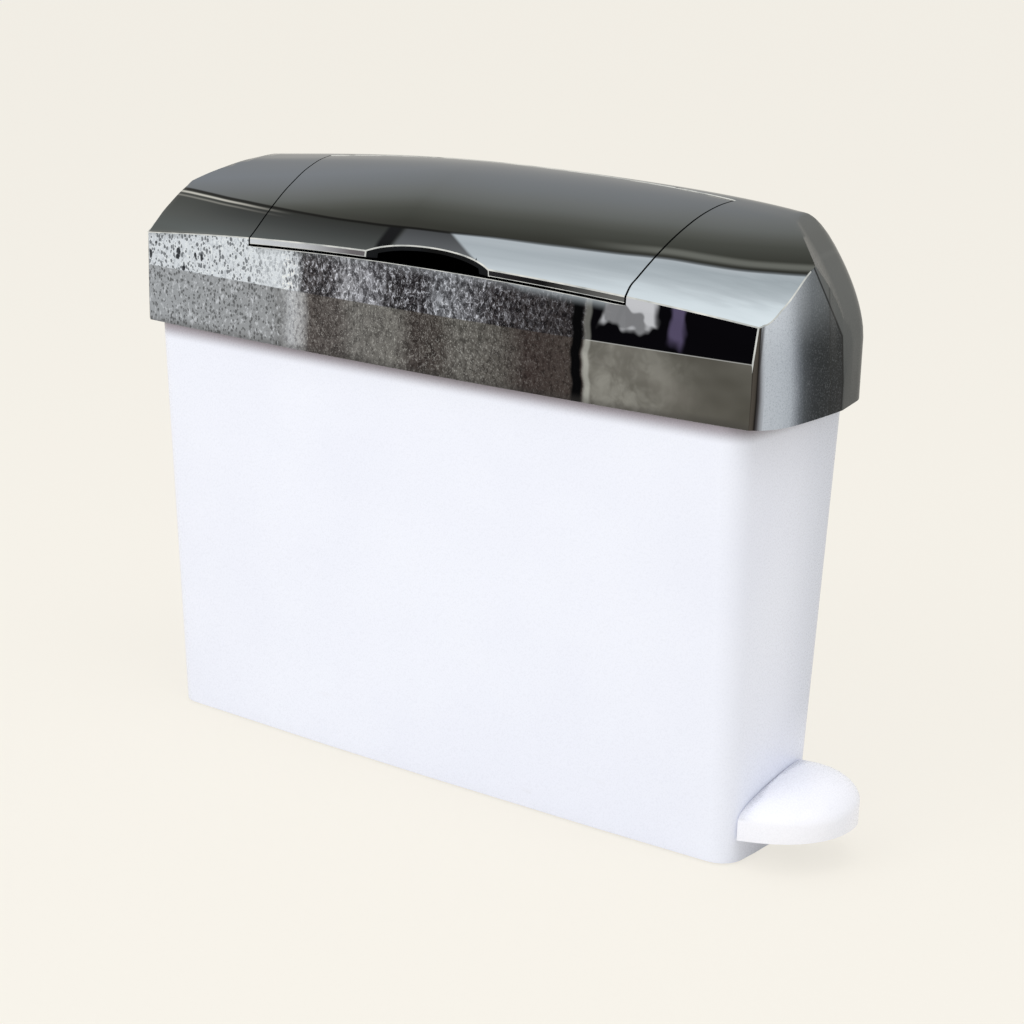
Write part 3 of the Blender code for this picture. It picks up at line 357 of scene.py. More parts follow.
def smooth_colour(made, x, z, low_part):
    """Painted reflections on the bands after the beading: the upper one black with a grey glow that is
    a painted reflection, the lower one olive.
    """
    wave = made.noise(0.022, 2.0, made.stretched(1.0, 1.0, 0.8))
    glow_x = wave * 0.020 + (x - 0.010)
    glow_z = wave * 0.030 + z
    glow = glow_x.between(0.153, 0.193, 0.0025) * glow_z.step(0.380, 0.384)
    broken = made.noise(0.012, 1.0, made.stretched(0.6, 1.0, 1.0)).step(0.42, 0.52, 0.35, 0.95)
    upper = made.blend(glow * broken, shown(8, 7, 10), shown(196, 197, 200))
    dim_glow = glow_x.between(0.203, 0.2165, 0.0025) * glow_z.step(0.372, 0.382, 0.0, 0.9)
    upper = made.layered(upper, (dim_glow, 86, 78, 104))

    clouds = made.noise(0.05, 2.0, made.stretched(1.0, 1.0, 1.6))
    lower = made.ramp(clouds, seen((0.3, 74, 72, 65), (0.5, 90, 88, 81), (0.7, 108, 105, 98)))
    swirl = made.noise(0.020, 3.0, made.warped(0.03, 0.03), 0.6)
    # Painted reflections: the lower band darker towards its bottom, and lit swirls, a painted
    # highlight, before the near end
    lit = x.step(0.240, 0.165) * swirl.step(0.35, 0.68, 0.15, 0.95)
    lower = made.layered(lower, (z.step(0.318, 0.350, 0.35, 0.0), 82, 79, 71), (lit, 136, 134, 126))
    return made.blend(low_part, upper, lower)


def band_colour(made, look, x, y, z):
    """The side bands' painted reflections: beading that ends before the near end, with smooth chrome
    after it.
    """
    wavy = made.noise(0.030, 1.0, made.stretched(0.15, 0.15, 1.0))
    across = wavy * 0.014 + (x - 0.0275)
    low_part = z.step(0.3524, 0.3532, 1.0, 0.0)
    bar = made.noise(0.020, 1.0, made.stretched(0.1, 0.1, 1.0)) * 0.012 + (x - 0.006)
    after = bar.step(0.1405, 0.1425)
    beaded, relief = beaded_colour(made, look.bead_size, across, low_part)
    band = made.blend(after, beaded, smooth_colour(made, x, z, low_part))

    # Where the beading stops: a painted wavy black reflection bar with a painted bright edge; a painted
    # highlight along the crease and painted darkening along the lower rim
    rim = bar.between(0.1402, 0.1452, 0.0012)
    crease = z.between(0.3526, 0.3531, 0.0003) * after
    band = made.layered(
        band, (bar.between(0.1310, 0.1392, 0.0015), 8, 8, 9),
        (rim * (low_part * 0.20 + 0.25), 186, 186, 178),
        (crease * 0.7, 190, 190, 186), (z.step(0.3103, 0.317, 0.45, 0.0), 56, 54, 52))

    # The flap's narrow front edge over the band, with painted reflections along it
    lip_height = x * x * -lip_fall + (arch_z - flap_lip)
    reach = flap_half + 0.001
    lip = (z - lip_height).step(-0.0008, -0.0002)
    lip *= x.between(flap_middle - reach, flap_middle + reach, 0.0003)
    lip_tone = made.ramp(x.span(-0.18, 0.16), seen(
        (0.0, 208, 212, 215), (0.22, 188, 190, 192), (0.36, 104, 100, 102), (0.62, 52, 50, 52),
        (0.84, 20, 20, 21), (1.0, 96, 96, 94)))
    band = made.blend(lip * y.step(0.0, -0.010), band, lip_tone)
    return band, relief, 1.0 - after


def end_colour(made, y, z):
    """Painted reflections on the ends: satin silver at the front side, dark towards the crease, plain
    grey behind it.
    """
    end = made.ramp(y.span(-0.075, 0.020), seen(
        (0.0, 186, 191, 196), (0.20, 180, 186, 192), (0.30, 168, 174, 180), (0.36, 134, 139, 145),
        (0.41, 100, 105, 110), (0.47, 70, 74, 77), (0.57, 49, 52, 54), (0.66, 42, 45, 46),
        (1.0, 42, 43, 42)))
    # Painted reflection: the ends paler towards the top
    top = made.ramp(y.span(-0.060, 0.020), seen(
        (0.0, 216, 221, 226), (0.5, 128, 133, 136), (1.0, 102, 104, 102)))
    end = made.blend(z.step(0.352, 0.396, 0.0, 0.65), end, top)
    speck = made.noise(0.0012, 2.0, None, 0.85)
    pale_specks = speck.step(0.50, 0.68, 0.0, 0.30) * y.step(-0.030, -0.048, 0.35, 1.0)
    end = made.layered(end, (pale_specks, 200, 204, 208),
                       (speck.step(0.48, 0.32, 0.0, 0.20), 60, 62, 64))
    # Behind the crease a plain grey painted reflection, and a painted dark line along the crease
    behind = made.ramp(z.span(0.310, 0.400), seen((0.0, 74, 76, 74), (1.0, 100, 102, 100)))
    crease = made.math("MAXIMUM", z - 0.360, 0.0) * -0.72 + 0.0195
    past = y - crease
    end = made.blend(past.step(-0.0010, 0.0010), end, behind)
    return made.layered(end, (past.between(-0.0022, -0.0004, 0.0008), 40, 41, 40)), speck


def chrome_finish(look):
    """Chromed moulding with painted reflections as its base colour: a dark dome with one sweep, beaded
    side bands, satin ends.
    """
    made = Finish("hood_chrome")
    x, y, z = made.axes()
    nx, ny, nz = made.axes("Normal")
    x = x - middle_x
    dome = dome_colour(made, x, z, ny)
    band, relief, before_end = band_colour(made, look, x, y, z)
    end, speck = end_colour(made, y, z)

    # Which surface this is, from the way it faces
    is_band = abs(ny).step(0.62, 0.80) * nz.step(0.30, 0.18)
    is_end = abs(nx).step(0.55, 0.72) * nz.step(0.80, 0.62)
    soft_end = abs(nx).step(0.30, 0.95)
    is_end = made.math("MAXIMUM", is_end * y.step(0.004, 0.0), soft_end * y.step(0.0, 0.004))
    chamfer = abs(nx).between(0.45, 0.80, 0.05) * ny.step(-0.52, -0.62)
    painted = made.blend(is_band, dome, band)
    painted = made.blend(is_end, painted, end)
    # Painted reflections on the front corner chamfer: olive and dark lines into silver
    strip = made.ramp(y.span(-0.0730, -0.0665), seen(
        (0.0, 26, 23, 20), (0.14, 78, 73, 66), (0.34, 70, 65, 59), (0.46, 26, 23, 21),
        (0.62, 74, 72, 73), (0.85, 150, 153, 157), (1.0, 170, 174, 179)))
    painted = made.blend(chamfer * nz.step(0.4, 0.3), painted, strip)

    beads = is_band * before_end
    normal = made.bump(made.noise(0.020, 1.0), 0.00003)
    normal = made.bump(relief * beads, 0.00016, normal)
    normal = made.bump(speck * is_end, 0.00008, normal)
    rough = beads * 0.12 + (is_end * 0.20 + 0.07)
    return made.finish(painted, rough, normal, 1.0, Specular_Tint=(0.65, 0.65, 0.65, 1.0))


def edge_finish():
    """The bright line that a chromed edge shows, painted as a bright base colour: a painted highlight.
    """
    made = Finish("hood_chrome_edge")
    highlight_break = made.noise(0.012, 2.0)
    colour = made.ramp(highlight_break, [(0.3, srgb(178, 184, 188)), (0.7, srgb(236, 240, 242))])
    return made.finish(colour, highlight_break.step(0.3, 0.7, 0.08, 0.18),
                       made.bump(made.noise(0.0015, 2.0), 0.00003), 1.0)


def dark_chrome_finish():
    """The unpolished inner side of the hood, painted near black as the shade seen in the finger notch.
    """
    made = Finish("hood_inside")
    mist = made.noise(0.030, 3.0)
    colour = made.ramp(mist, [(0.3, srgb(9, 10, 11)), (0.7, srgb(22, 24, 27))])
    return made.finish(colour, mist.step(0.3, 0.7, 0.45, 0.65),
                       made.bump(made.noise(0.0010, 3.0), 0.00005), Specular_IOR_Level=0.05)


def white_finish(look):
    """Gloss white moulding: a faint skin, a little dust low down, painted shade under the hood's edge
    and on the end face's rear part.
    """
    made = Finish("white_moulding")
    x, y, z = made.axes()
    tone = made.blend(made.noise(0.12, 3.0).step(0.3, 0.7), look.white, look.white_shade)
    scuffs = made.noise(0.010, 4.0, made.stretched(0.25, 0.25, 1.0), 0.7)
    dust = scuffs.between(0.66, 0.80, 0.04) * z.step(0.10, 0.0, 0.0, 0.10)
    tone = made.blend(dust, tone, srgb(196, 196, 200))
    # Painted shade: a darker lilac grey band on the body just under the hood's edge, white again above
    # it
    shade = z.step(0.2970, 0.3085) * z.step(0.3102, 0.3114, 1.0, 0.0)
    tone = made.blend(shade, tone, srgb(158, 152, 162))
    # Painted shade: the end face darker towards its rear side, above the bottom
    end_face = made.axes("Normal")[0].step(0.60, 0.90)
    end_painted_shade = end_face * y.step(-0.02, 0.080, 0.0, 0.80) * z.step(0.06, 0.10)
    tone = made.blend(end_painted_shade, tone, srgb(194, 200, 214))
    skin = made.noise(0.0011, 3.0, None, 0.6)
    rough = skin.step(0.35, 0.65, look.white_rough - 0.03, look.white_rough + 0.05)
    normal = made.bump(skin, 0.000006, made.bump(made.noise(0.035, 1.0), 0.00006))
    return made.finish(tone, rough, normal, Specular_IOR_Level=0.45)


def pedal_finish(look):
    """The pedal's glossier white, scuffed on the tread, and brighter than the body: painted light for
    its top lit from above.
    """
    made = Finish("pedal_moulding")
    skin = made.noise(0.0011, 3.0, None, 0.6)
    scuffs = made.noise(0.006, 3.0, made.stretched(1.0, 0.25, 1.0), 0.7)
    tone = made.blend(made.noise(0.05, 2.0).step(0.3, 0.7), look.pedal_white, srgb(243, 245, 253))
    tone = made.blend(scuffs.step(0.62, 0.80, 0.0, 0.10), tone, srgb(206, 206, 212))
    return made.finish(tone, skin.step(0.35, 0.65, 0.24, 0.32), made.bump(skin, 0.000006),
                       Specular_IOR_Level=0.45)


def moulded_finish(name, colour, deeper, grain_size, rough):
    """Matt moulding with a fine spark-eroded grain."""
    made = Finish(name)
    grain = made.noise(grain_size, 3.0, None, 0.7)
    tone = made.blend(made.noise(0.05, 2.0).step(0.3, 0.7), colour, deeper)
    tone = made.blend(grain.step(0.45, 0.75, 0.0, 0.25), tone, deeper)
    flow = made.noise(0.012, 2.0, made.stretched(0.12, 1.0, 1.0))
    tone = made.blend(flow.step(0.55, 0.75, 0.0, 0.10), tone, grey(235))
    return made.finish(tone, grain.step(0.3, 0.7, rough - 0.08, rough + 0.08),
                       made.bump(grain, 0.00006))


def steel_finish(name, along=(0.05, 1.0, 1.0)):
    """Plated steel with fine drawing lines."""
    made = Finish(name)
    lines = made.noise(0.0012, 3.0, made.stretched(*along), 0.7)
    colour = made.blend(lines.step(0.35, 0.65), srgb(150, 152, 155), srgb(206, 208, 210))
    mist = made.noise(0.02, 2.0).step(0.55, 0.75, 0.0, 0.4)
    colour = made.blend(mist, colour, srgb(134, 132, 128))
    return made.finish(colour, lines.step(0.3, 0.7, 0.24, 0.42), made.bump(lines, 0.00003), 1.0)


def rubber_finish():
    """Black rubber with a powdery bloom."""
    made = Finish("foot_rubber")
    bloom = made.noise(0.004, 4.0, None, 0.7)
    colour = made.blend(bloom.step(0.5, 0.8), srgb(30, 30, 31), grey(66))
    return made.finish(colour, bloom.step(0.3, 0.7, 0.7, 0.9), made.bump(bloom, 0.00010))


# Meshes, and the places of the hood's three finishes in its list
same_point = 0.00001
flat_angle = radians(0.6)
outer_slot, inner_slot, edge_slot = 0, 1, 2


def new_piece(name, mesh):
    piece = bpy.data.objects.new(name, mesh)
    bpy.context.scene.collection.objects.link(piece)
    return piece


def plain(piece):
    """The piece with its modifiers worked in."""
    graph = bpy.context.evaluated_depsgraph_get()
    mesh = bpy.data.meshes.new_from_object(piece.evaluated_get(graph))
    mesh.name = piece.name
    piece.modifiers.clear()
    piece.data = mesh
    return piece


def soften(piece, degrees=32):
    piece.data.shade_smooth()
    piece.data.set_sharp_from_angle(angle=radians(degrees))


def node_copy(node, name, finishes):
    """A new piece with a CAD node's shape and its doubles merged."""
    piece = new_piece(name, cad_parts[node].data.copy())
    work = bmesh.new()
    work.from_mesh(piece.data)
    bmesh.ops.remove_doubles(work, verts=work.verts, dist=same_point)
    bmesh.ops.dissolve_limit(work, angle_limit=flat_angle, verts=work.verts, edges=work.edges)
    for face in work.faces:
        face.material_index = 0
    work.to_mesh(piece.data)
    work.free()
    piece.data.materials.clear()
    for finish in finishes:
        piece.data.materials.append(finish)
    return piece


def loft(name, rings, slot=outer_slot):
    """A closed solid through rings of the same number of points, in one of the hood's finishes."""
    work = bmesh.new()
    rows = [[work.verts.new(point) for point in ring] for ring in rings]
    count = len(rows[0])
    for first, second in zip(rows, rows[1:]):
        for i in range(count):
            j = (i + 1) % count
            work.faces.new((first[i], first[j], second[j], second[i]))
    work.faces.new(list(reversed(rows[0])))
    work.faces.new(rows[-1])
    return hood_solid(name, work, slot)


def hood_solid(name, work, slot):
    """A piece from a working mesh that carries all the hood's finishes."""
    bmesh.ops.recalc_face_normals(work, faces=work.faces)
    for face in work.faces:
        face.material_index = slot
    mesh = bpy.data.meshes.new(name)
    work.to_mesh(mesh)
    work.free()
    for finish in hood_finishes():
        mesh.materials.append(finish)
    return new_piece(name, mesh)


def cut(piece, tool, operation):
    """A Boolean between two closed pieces; the tool goes away."""
    step = piece.modifiers.new("cut", "BOOLEAN")
    step.operation = operation
    step.solver = "EXACT"
    step.object = tool
    plain(piece)
    bpy.data.objects.remove(tool)
    return piece


def through(points, steps):
    """Points along a smooth curve through the given points, with steps between each two."""
    curve = []
    last = len(points) - 1
    for i in range(last):
        before = points[max(i - 1, 0)]
        first, second = points[i], points[i + 1]
        after = points[min(i + 2, last)]
        for k in range(steps):
            t = k / steps
            curve.append(tuple(
                b + 0.5 * t * ((c - a) + t * ((2 * a - 5 * b + 4 * c - d) + t * (3 * (b - c) + d - a)))
                for a, b, c, d in zip(before, first, second, after)))
    curve.append(tuple(points[-1]))
    return curve


# Hood shape: the same rules as the solid's, taken in finer steps and measured from the middle
hood_edge = hood_low[2]
hood_end = (hood_high[0] - hood_low[0]) / 2
crease_z = hood_edge + 0.0425
arch_z = crease_z + 0.0372
above_all = arch_z + 0.080
hood_station = hood_end - 0.0110
station_steps, station_reach = 30, 1.06
dome_steps = 4
side_half = 0.0725
side_bow = (hood_high[1] - hood_low[1]) / 2 - side_half
hood_wall = 0.0025
dome_rise = 0.0532
crease_y = 0.020
end_draft_start = hood_edge + 0.0197
roll_start = crease_z - 0.0008
front_beyond = side_half + 0.0225
flap_middle = 0.006
flap_half = hood_end - 0.118
flap_rear = 0.029
flap_lip = 0.0045
notch_x, notch_half, notch_depth = 0.008, 0.057, 0.0080
notch_steps, notch_taper = 48, 1.5
flap_corner = 0.015
flap_rear_bow = 0.012
front_arch_drop = 0.0135
front_arch_set_back = 0.0014
dome_drop = 0.0210
right_falls = (0.528, 0.422)
left_falls = (1.198, -0.205)
edge_draft = 0.0005
corner_depth = 0.0160
corner_start = -0.97
end_draft, end_draft_height = 0.0075, 0.082
corner_lift, corner_width = 0.28, 1.4
roll_depth, roll_height, roll_top = 0.0258, 0.059, 0.092
roll_power = 1.68
crest_start, crest_gain, crest_power = 1.45, 35, 2.5
rear_slope, front_slope = 0.193, 0.490
curl_start, curl = 2.6, 0.32
shine_angle = radians(9)
overlap = 0.01
sliver = 0.00015
dome_shares = (
    (-1.0, 0.0, 0.64), (-0.925, 0.105, 0.878), (-0.85, 0.195, 0.964), (-0.70, 0.36, 1.001),
    (-0.55, 0.512, 1.033), (-0.40, 0.645, 1.028), (-0.25, 0.76, 1.041), (-0.10, 0.852, 0.98),
    (0.05, 0.92, 0.92), (0.20, 0.965, 0.84), (0.35, 0.992, 0.819), (0.50, 1.0, 0.777),
    (0.61, 0.980, 0.776), (0.71, 0.920, 0.819), (0.80, 0.805, 0.857), (0.88, 0.640, 0.862),
    (0.945, 0.430, 0.81), (0.985, 0.200, 0.75), (1.0, -0.04, 0.72),
)
corner_shares = [(-1.45, 0.03), (corner_start, 0.03)] + through((
    (-0.92, 0.30), (-0.875, 0.445), (-0.82, 0.58), (-0.75, 0.71), (-0.66, 0.82), (-0.54, 0.89),
    (-0.40, 0.935), (-0.22, 0.975), (0.0, 1.0), (0.27, 0.995), (0.62, 0.93), (1.25, 0.70),
), 3)


def hood_profile(x):
    """The outer profile at a station: front edge, bands, dome, rear edge."""
    along = (x / hood_station) ** 2
    low_fall, end_fall = right_falls if x > 0 else left_falls
    fall = along * (low_fall + end_fall * along ** 2)
    half = side_half + side_bow * (1 - along)
    dome = []
    for share, rise, drop in dome_shares:
        y = half * share
        z = arch_z + dome_rise * rise
        if share == -1.0:
            y += front_arch_set_back
            z -= front_arch_drop * along
        else:
            z -= dome_drop * drop * fall
        dome.append((y, z))
    front = [(-half + edge_draft, hood_edge), (-half, crease_z)]
    return front + dome + [(half, crease_z), (half - edge_draft, hood_edge)]


def inward(points, distance):
    """An open line moved to its right by a distance."""
    if not distance:
        return list(points)
    normals = []
    for (x0, y0), (x1, y1) in zip(points, points[1:]):
        length = hypot(x1 - x0, y1 - y0)
        normals.append(((y1 - y0) / length, -(x1 - x0) / length))
    moved = []
    for i, (x, y) in enumerate(points):
        first = normals[max(i - 1, 0)]
        second = normals[min(i, len(normals) - 1)]
        scale = distance / (1 + first[0] * second[0] + first[1] * second[1])
        moved.append((x + (first[0] + second[0]) * scale, y + (first[1] + second[1]) * scale))
    return moved


def both_ends(line):
    return line + [(-x, y, z) for x, y, z in reversed(line)]


def main_end_ring(z, inset):
    """Plan of the two main end faces at a height."""
    steep = max(z - end_draft_start, 0.0) / end_draft_height
    rise = min(max(z - hood_edge, 0.0) / (arch_z - hood_edge), 1.0)
    line = []
    for across, reach in corner_shares:
        x = hood_end - corner_depth * (1 - reach) - end_draft * steep * (0.4 + 0.6 * reach)
        x += corner_depth * corner_lift * rise * max(1 - reach * corner_width, 0.0)
        if across < -1.0:
            x -= (corner_start - across) * side_half
        line.append((x - inset, side_half * across, z))
    return both_ends(line)


def rear_end_ring(z, inset):
    """Plan of the two rolled rear end faces at a height."""
    up = max(z - roll_start, 0.0) / roll_height
    crest = crest_gain * max(up - crest_start, 0.0) ** crest_power
    roll = roll_depth * (up ** roll_power + crest)
    line = []
    steps = 18
    for i in range(-1, steps + 1):
        y = -front_beyond if i < 0 else crease_y + (front_beyond - crease_y) * i / steps
        x = hood_end - (rear_slope if y > crease_y else front_slope) * (y - crease_y)
        x -= max(y - crease_y * curl_start, 0.0) ** 2 / crease_y * curl
        line.append((x - roll - inset, y, z))
    return both_ends(line)


def hood_core(name, inset, bottom, slot=outer_slot):
    """The hood's outer volume, moved inward by an inset and cut by the end faces."""
    rings = []
    steps = station_steps
    for i in range(-steps, steps + 1):
        x = hood_station * station_reach * i / steps
        coarse = inward(hood_profile(x), inset)
        profile = coarse[:2] + through(coarse[2:-2], dome_steps) + coarse[-2:]
        profile[0] = (profile[0][0], bottom)
        profile[-1] = (profile[-1][0], bottom)
        rings.append([(x, y, z) for y, z in profile])
    core = loft(name, rings, slot)
    heights = (bottom - overlap, end_draft_start, arch_z, above_all)
    cut(core, loft("main_ends", [main_end_ring(z, inset) for z in heights], slot), "INTERSECT")
    levels = [bottom - overlap]
    levels += [roll_start + roll_top * (k / steps) ** 0.75 for k in range(steps + 1)]
    return cut(core, loft("rear_ends", [rear_end_ring(z, inset) for z in levels], slot), "INTERSECT")


def hood_shell(name):
    """The whole hood as a hollow shell, before the mouth parts the flap from it."""
    shell = hood_core(name, 0.0, hood_edge)
    hollow = hood_core(name + "_hollow", hood_wall, hood_edge - overlap, inner_slot)
    return cut(shell, hollow, "DIFFERENCE")


def flap_region(name, side, rear, low):
    """The block that parts the flap from the hood, wider by the gaps given for the mouth."""
    rings = []
    steps = 40
    for i in range(steps + 1):
        s = -1 + 2 * i / steps
        front_x = flap_middle + s * (flap_half - flap_corner * 0.15 + side)
        rear_x = flap_middle + s * (flap_half + flap_corner + side)
        rear_y = flap_rear + flap_rear_bow * (1 - s * s) + rear
        z = arch_z - front_arch_drop * (front_x / hood_station) ** 2 - flap_lip - low
        rings.append([(front_x, -front_beyond, z), (rear_x, rear_y, z), (rear_x, rear_y, above_all),
                      (front_x, -front_beyond, above_all)])
    return loft(name, rings, inner_slot)


def shines(edge):
    """Whether a painted highlight line runs along this edge: the arch, the mouth's rims and the main
    ends.
    """
    if len(edge.link_faces) != 2 or edge.calc_face_angle() < shine_angle:
        return False
    first, second = sorted(edge.link_faces, key=lambda face: face.material_index)
    centre = (edge.verts[0].co + edge.verts[1].co) / 2
    if first.material_index == inner_slot:
        return False
    normals = (first.normal, second.normal)
    if second.material_index == inner_slot:
        # A cut: all but the seams at the flap's two sides and the lower rim
        return abs(second.normal.x) < 0.6 and centre.z > hood_edge + 0.01
    flat = [abs(normal.x) > 0.62 and normal.z < 0.6 for normal in normals]
    if flat[0] != flat[1] and max(normal.z for normal in normals) > 0.55:
        # The dome meets an end face; behind the crease that shoulder is soft
        return centre.y < -0.020
    side = [abs(normal.y) > 0.85 and normal.z < 0.28 for normal in normals]
    return side[0] != side[1] and centre.z > crease_z + 0.012 and centre.y < 0


def round_shining_edges(piece, width):
    """Rounds the edges that carry a painted highlight line and gives them a bright finish of their own.
    """
    work = bmesh.new()
    work.from_mesh(piece.data)
    bmesh.ops.remove_doubles(work, verts=work.verts, dist=sliver)
    bmesh.ops.dissolve_degenerate(work, edges=work.edges, dist=sliver)
    weight = work.edges.layers.float.new("bevel_weight_edge")
    for edge in work.edges:
        if shines(edge):
            edge[weight] = 1.0
    work.to_mesh(piece.data)
    work.free()
    step = piece.modifiers.new("edge", "BEVEL")
    step.width = width
    step.segments = 2
    step.limit_method = "WEIGHT"
    step.use_clamp_overlap = False
    step.material = edge_slot
    return plain(piece)


def soften_shoulders(piece):
    """The two rear end shoulders are shaded as round, with no hard line."""
    work = bmesh.new()
    work.from_mesh(piece.data)
    for edge in work.edges:
        centre = (edge.verts[0].co + edge.verts[1].co) / 2
        outer = all(face.material_index == outer_slot for face in edge.link_faces)
        if outer and centre.y > 0.004 and abs(centre.x) > hood_end * 0.6 and centre.z > arch_z:
            edge.smooth = True
    work.to_mesh(piece.data)
    work.free()


def settle(piece):
    """Moves a piece that was drawn about the body's middle to its place in the frame."""
    piece.data.transform(Matrix.Translation((middle_x, 0, 0)))
    return piece


def made_once(name, maker, *given):
    """A finish that several operators share."""
    return bpy.data.materials.get(name) or maker(*given)


def hood_finishes():
    look = bpy.context.scene.bin_hood
    return [made_once("hood_chrome", chrome_finish, look), made_once("hood_inside", dark_chrome_finish),
            made_once("hood_chrome_edge", edge_finish)]


# Settings that a user would change
class HoodSettings(bpy.types.PropertyGroup):
    bead_size: bpy.props.FloatProperty(
        name="Bead size", description="Size of the beads on the side bands", default=0.0040,
        min=0.001, unit="LENGTH")
    edge_round: bpy.props.FloatProperty(
        name="Edge rounding", description="Width of the bright rounded edges", default=0.0006,
        min=0.0001, unit="LENGTH")
    post_radius: bpy.props.FloatProperty(
        name="Post radius", description="Radius of the posts under the dome", default=0.0045,
        unit="LENGTH")


class BodySettings(bpy.types.PropertyGroup):
    white: bpy.props.FloatVectorProperty(
        name="White", description="Colour of the body and pedal", subtype="COLOR", size=4,
        default=srgb(239, 243, 255), min=0, max=1)
    white_shade: bpy.props.FloatVectorProperty(
        name="White, deeper", description="The body's slightly deeper clouding", subtype="COLOR",
        size=4, default=srgb(236, 240, 253), min=0, max=1)
    # The pedal's white is brighter than the body's: painted light for the pedal's top lit from above
    pedal_white: bpy.props.FloatVectorProperty(
        name="Pedal white", description="Colour of the pedal", subtype="COLOR", size=4,
        default=srgb(246, 247, 254), min=0, max=1)
    white_rough: bpy.props.FloatProperty(
        name="Roughness", description="Roughness of the white moulding", default=0.28, min=0, max=1,
        subtype="FACTOR")


class FixingSettings(bpy.types.PropertyGroup):
    head_radius: bpy.props.FloatProperty(
        name="Screw head radius", description="Radius of every screw head", default=0.0030,
        unit="LENGTH")
    head_height: bpy.props.FloatProperty(
        name="Screw head height", description="Height of every screw head", default=0.0014,
        unit="LENGTH")
    shank_radius: bpy.props.FloatProperty(
        name="Screw shank radius", description="Radius of every screw shank", default=0.0013,
        unit="LENGTH")
    recess_width: bpy.props.FloatProperty(
        name="Recess width", description="Width of the cross recess", default=0.0008, unit="LENGTH")
    grip_rings: bpy.props.IntProperty(
        name="Grip rings", description="Rings on the underside of each foot", default=3, min=1)
    spring_turns: bpy.props.IntProperty(
        name="Spring turns", description="Turns in each return spring", default=4, min=1)


class StageSettings(bpy.types.PropertyGroup):
    floor_colour: bpy.props.FloatVectorProperty(
        name="Floor", description="Colour of the floor and backdrop", subtype="COLOR", size=4,
        default=srgb(247, 243, 234), min=0, max=1)
    floor_size: bpy.props.FloatProperty(
        name="Floor size", description="Length of the floor", default=60.0, unit="LENGTH")
    key_power: bpy.props.FloatProperty(
        name="Key light", description="Strength of the large soft lamp", default=24.5)
    side_power: bpy.props.FloatProperty(
        name="Side light", description="Strength of the lamp over the pedal end", default=8.8)
    sky: bpy.props.FloatProperty(
        name="Sky", description="Strength of the light from all round", default=0.745)


# Geometry node trees
class Growth(Nodes):
    """A Geometry Nodes tree under construction."""

    def __init__(self, name, numbers, counts=()):
        super().__init__(bpy.data.node_groups.new(name, "GeometryNodeTree"))
        self.sockets = {}
        face = self.tree.interface
        face.new_socket("Geometry", in_out="INPUT", socket_type="NodeSocketGeometry")
        face.new_socket("Geometry", in_out="OUTPUT", socket_type="NodeSocketGeometry")
        for kind, labels in (("Float", numbers), ("Int", counts), ("Material", ["Finish"])):
            for label in labels:
                self.sockets[label] = face.new_socket(label, in_out="INPUT",
                                                      socket_type="NodeSocket" + kind)
        self.given = {socket.name: Value(self, socket) for socket in self.add("NodeGroupInput").outputs}
        self.result = self.add("NodeGroupOutput").inputs[0]

    def vector(self, x=0.0, y=0.0, z=0.0):
        return self.get("ShaderNodeCombineXYZ", {"X": x, "Y": y, "Z": z})

    def moved(self, geometry, shift=(0.0, 0.0, 0.0), turn=(0.0, 0.0, 0.0)):
        return self.get("GeometryNodeTransform", {"Geometry": geometry, "Translation": shift,
                                                  "Rotation": turn})

    def raised(self, geometry, height):
        return self.moved(geometry, self.vector(z=height))

    def tube(self, sides, radius, length):
        return self.get("GeometryNodeMeshCylinder", {"Vertices": sides, "Radius": radius,
                                                     "Depth": length})

    def circle(self, steps, radius):
        return self.get("GeometryNodeCurvePrimitiveCircle", {"Resolution": steps, "Radius": radius})

    def wire(self, curve, radius, capped):
        return self.get("GeometryNodeCurveToMesh", {
            "Curve": curve, "Profile Curve": self.circle(8, radius), "Fill Caps": capped})

    def gathered(self, kind, place, parts, inputs=(), **settings):
        """A node that takes several meshes in one socket."""
        node = self.add(kind, inputs, **settings)
        for part in parts:
            self.join(part, node.inputs[place])
        return Value(self, node.outputs[0])

    def together(self, *parts):
        return self.gathered("GeometryNodeJoinGeometry", 0, parts)

    def grow(self, shape, turn):
        """The shape on every point of the input, as plain mesh with the given finish."""
        placed = self.get("GeometryNodeInstanceOnPoints", {
            "Points": self.given["Geometry"], "Instance": shape, "Rotation": turn})
        solid = self.get("GeometryNodeRealizeInstances", {"Geometry": placed})
        painted = self.get("GeometryNodeSetMaterial", {"Geometry": solid,
                                                       "Material": self.given["Finish"]})
        self.join(painted, self.result)

    def use(self, name, places, values):
        """A plain mesh piece grown on the places."""
        mesh = bpy.data.meshes.new(name)
        mesh.from_pydata([tuple(place) for place in places], [], [])
        piece = new_piece(name, mesh)
        step = piece.modifiers.new("grow", "NODES")
        step.node_group = self.tree
        for label, value in values.items():
            step[self.sockets[label].identifier] = value
        return plain(piece)


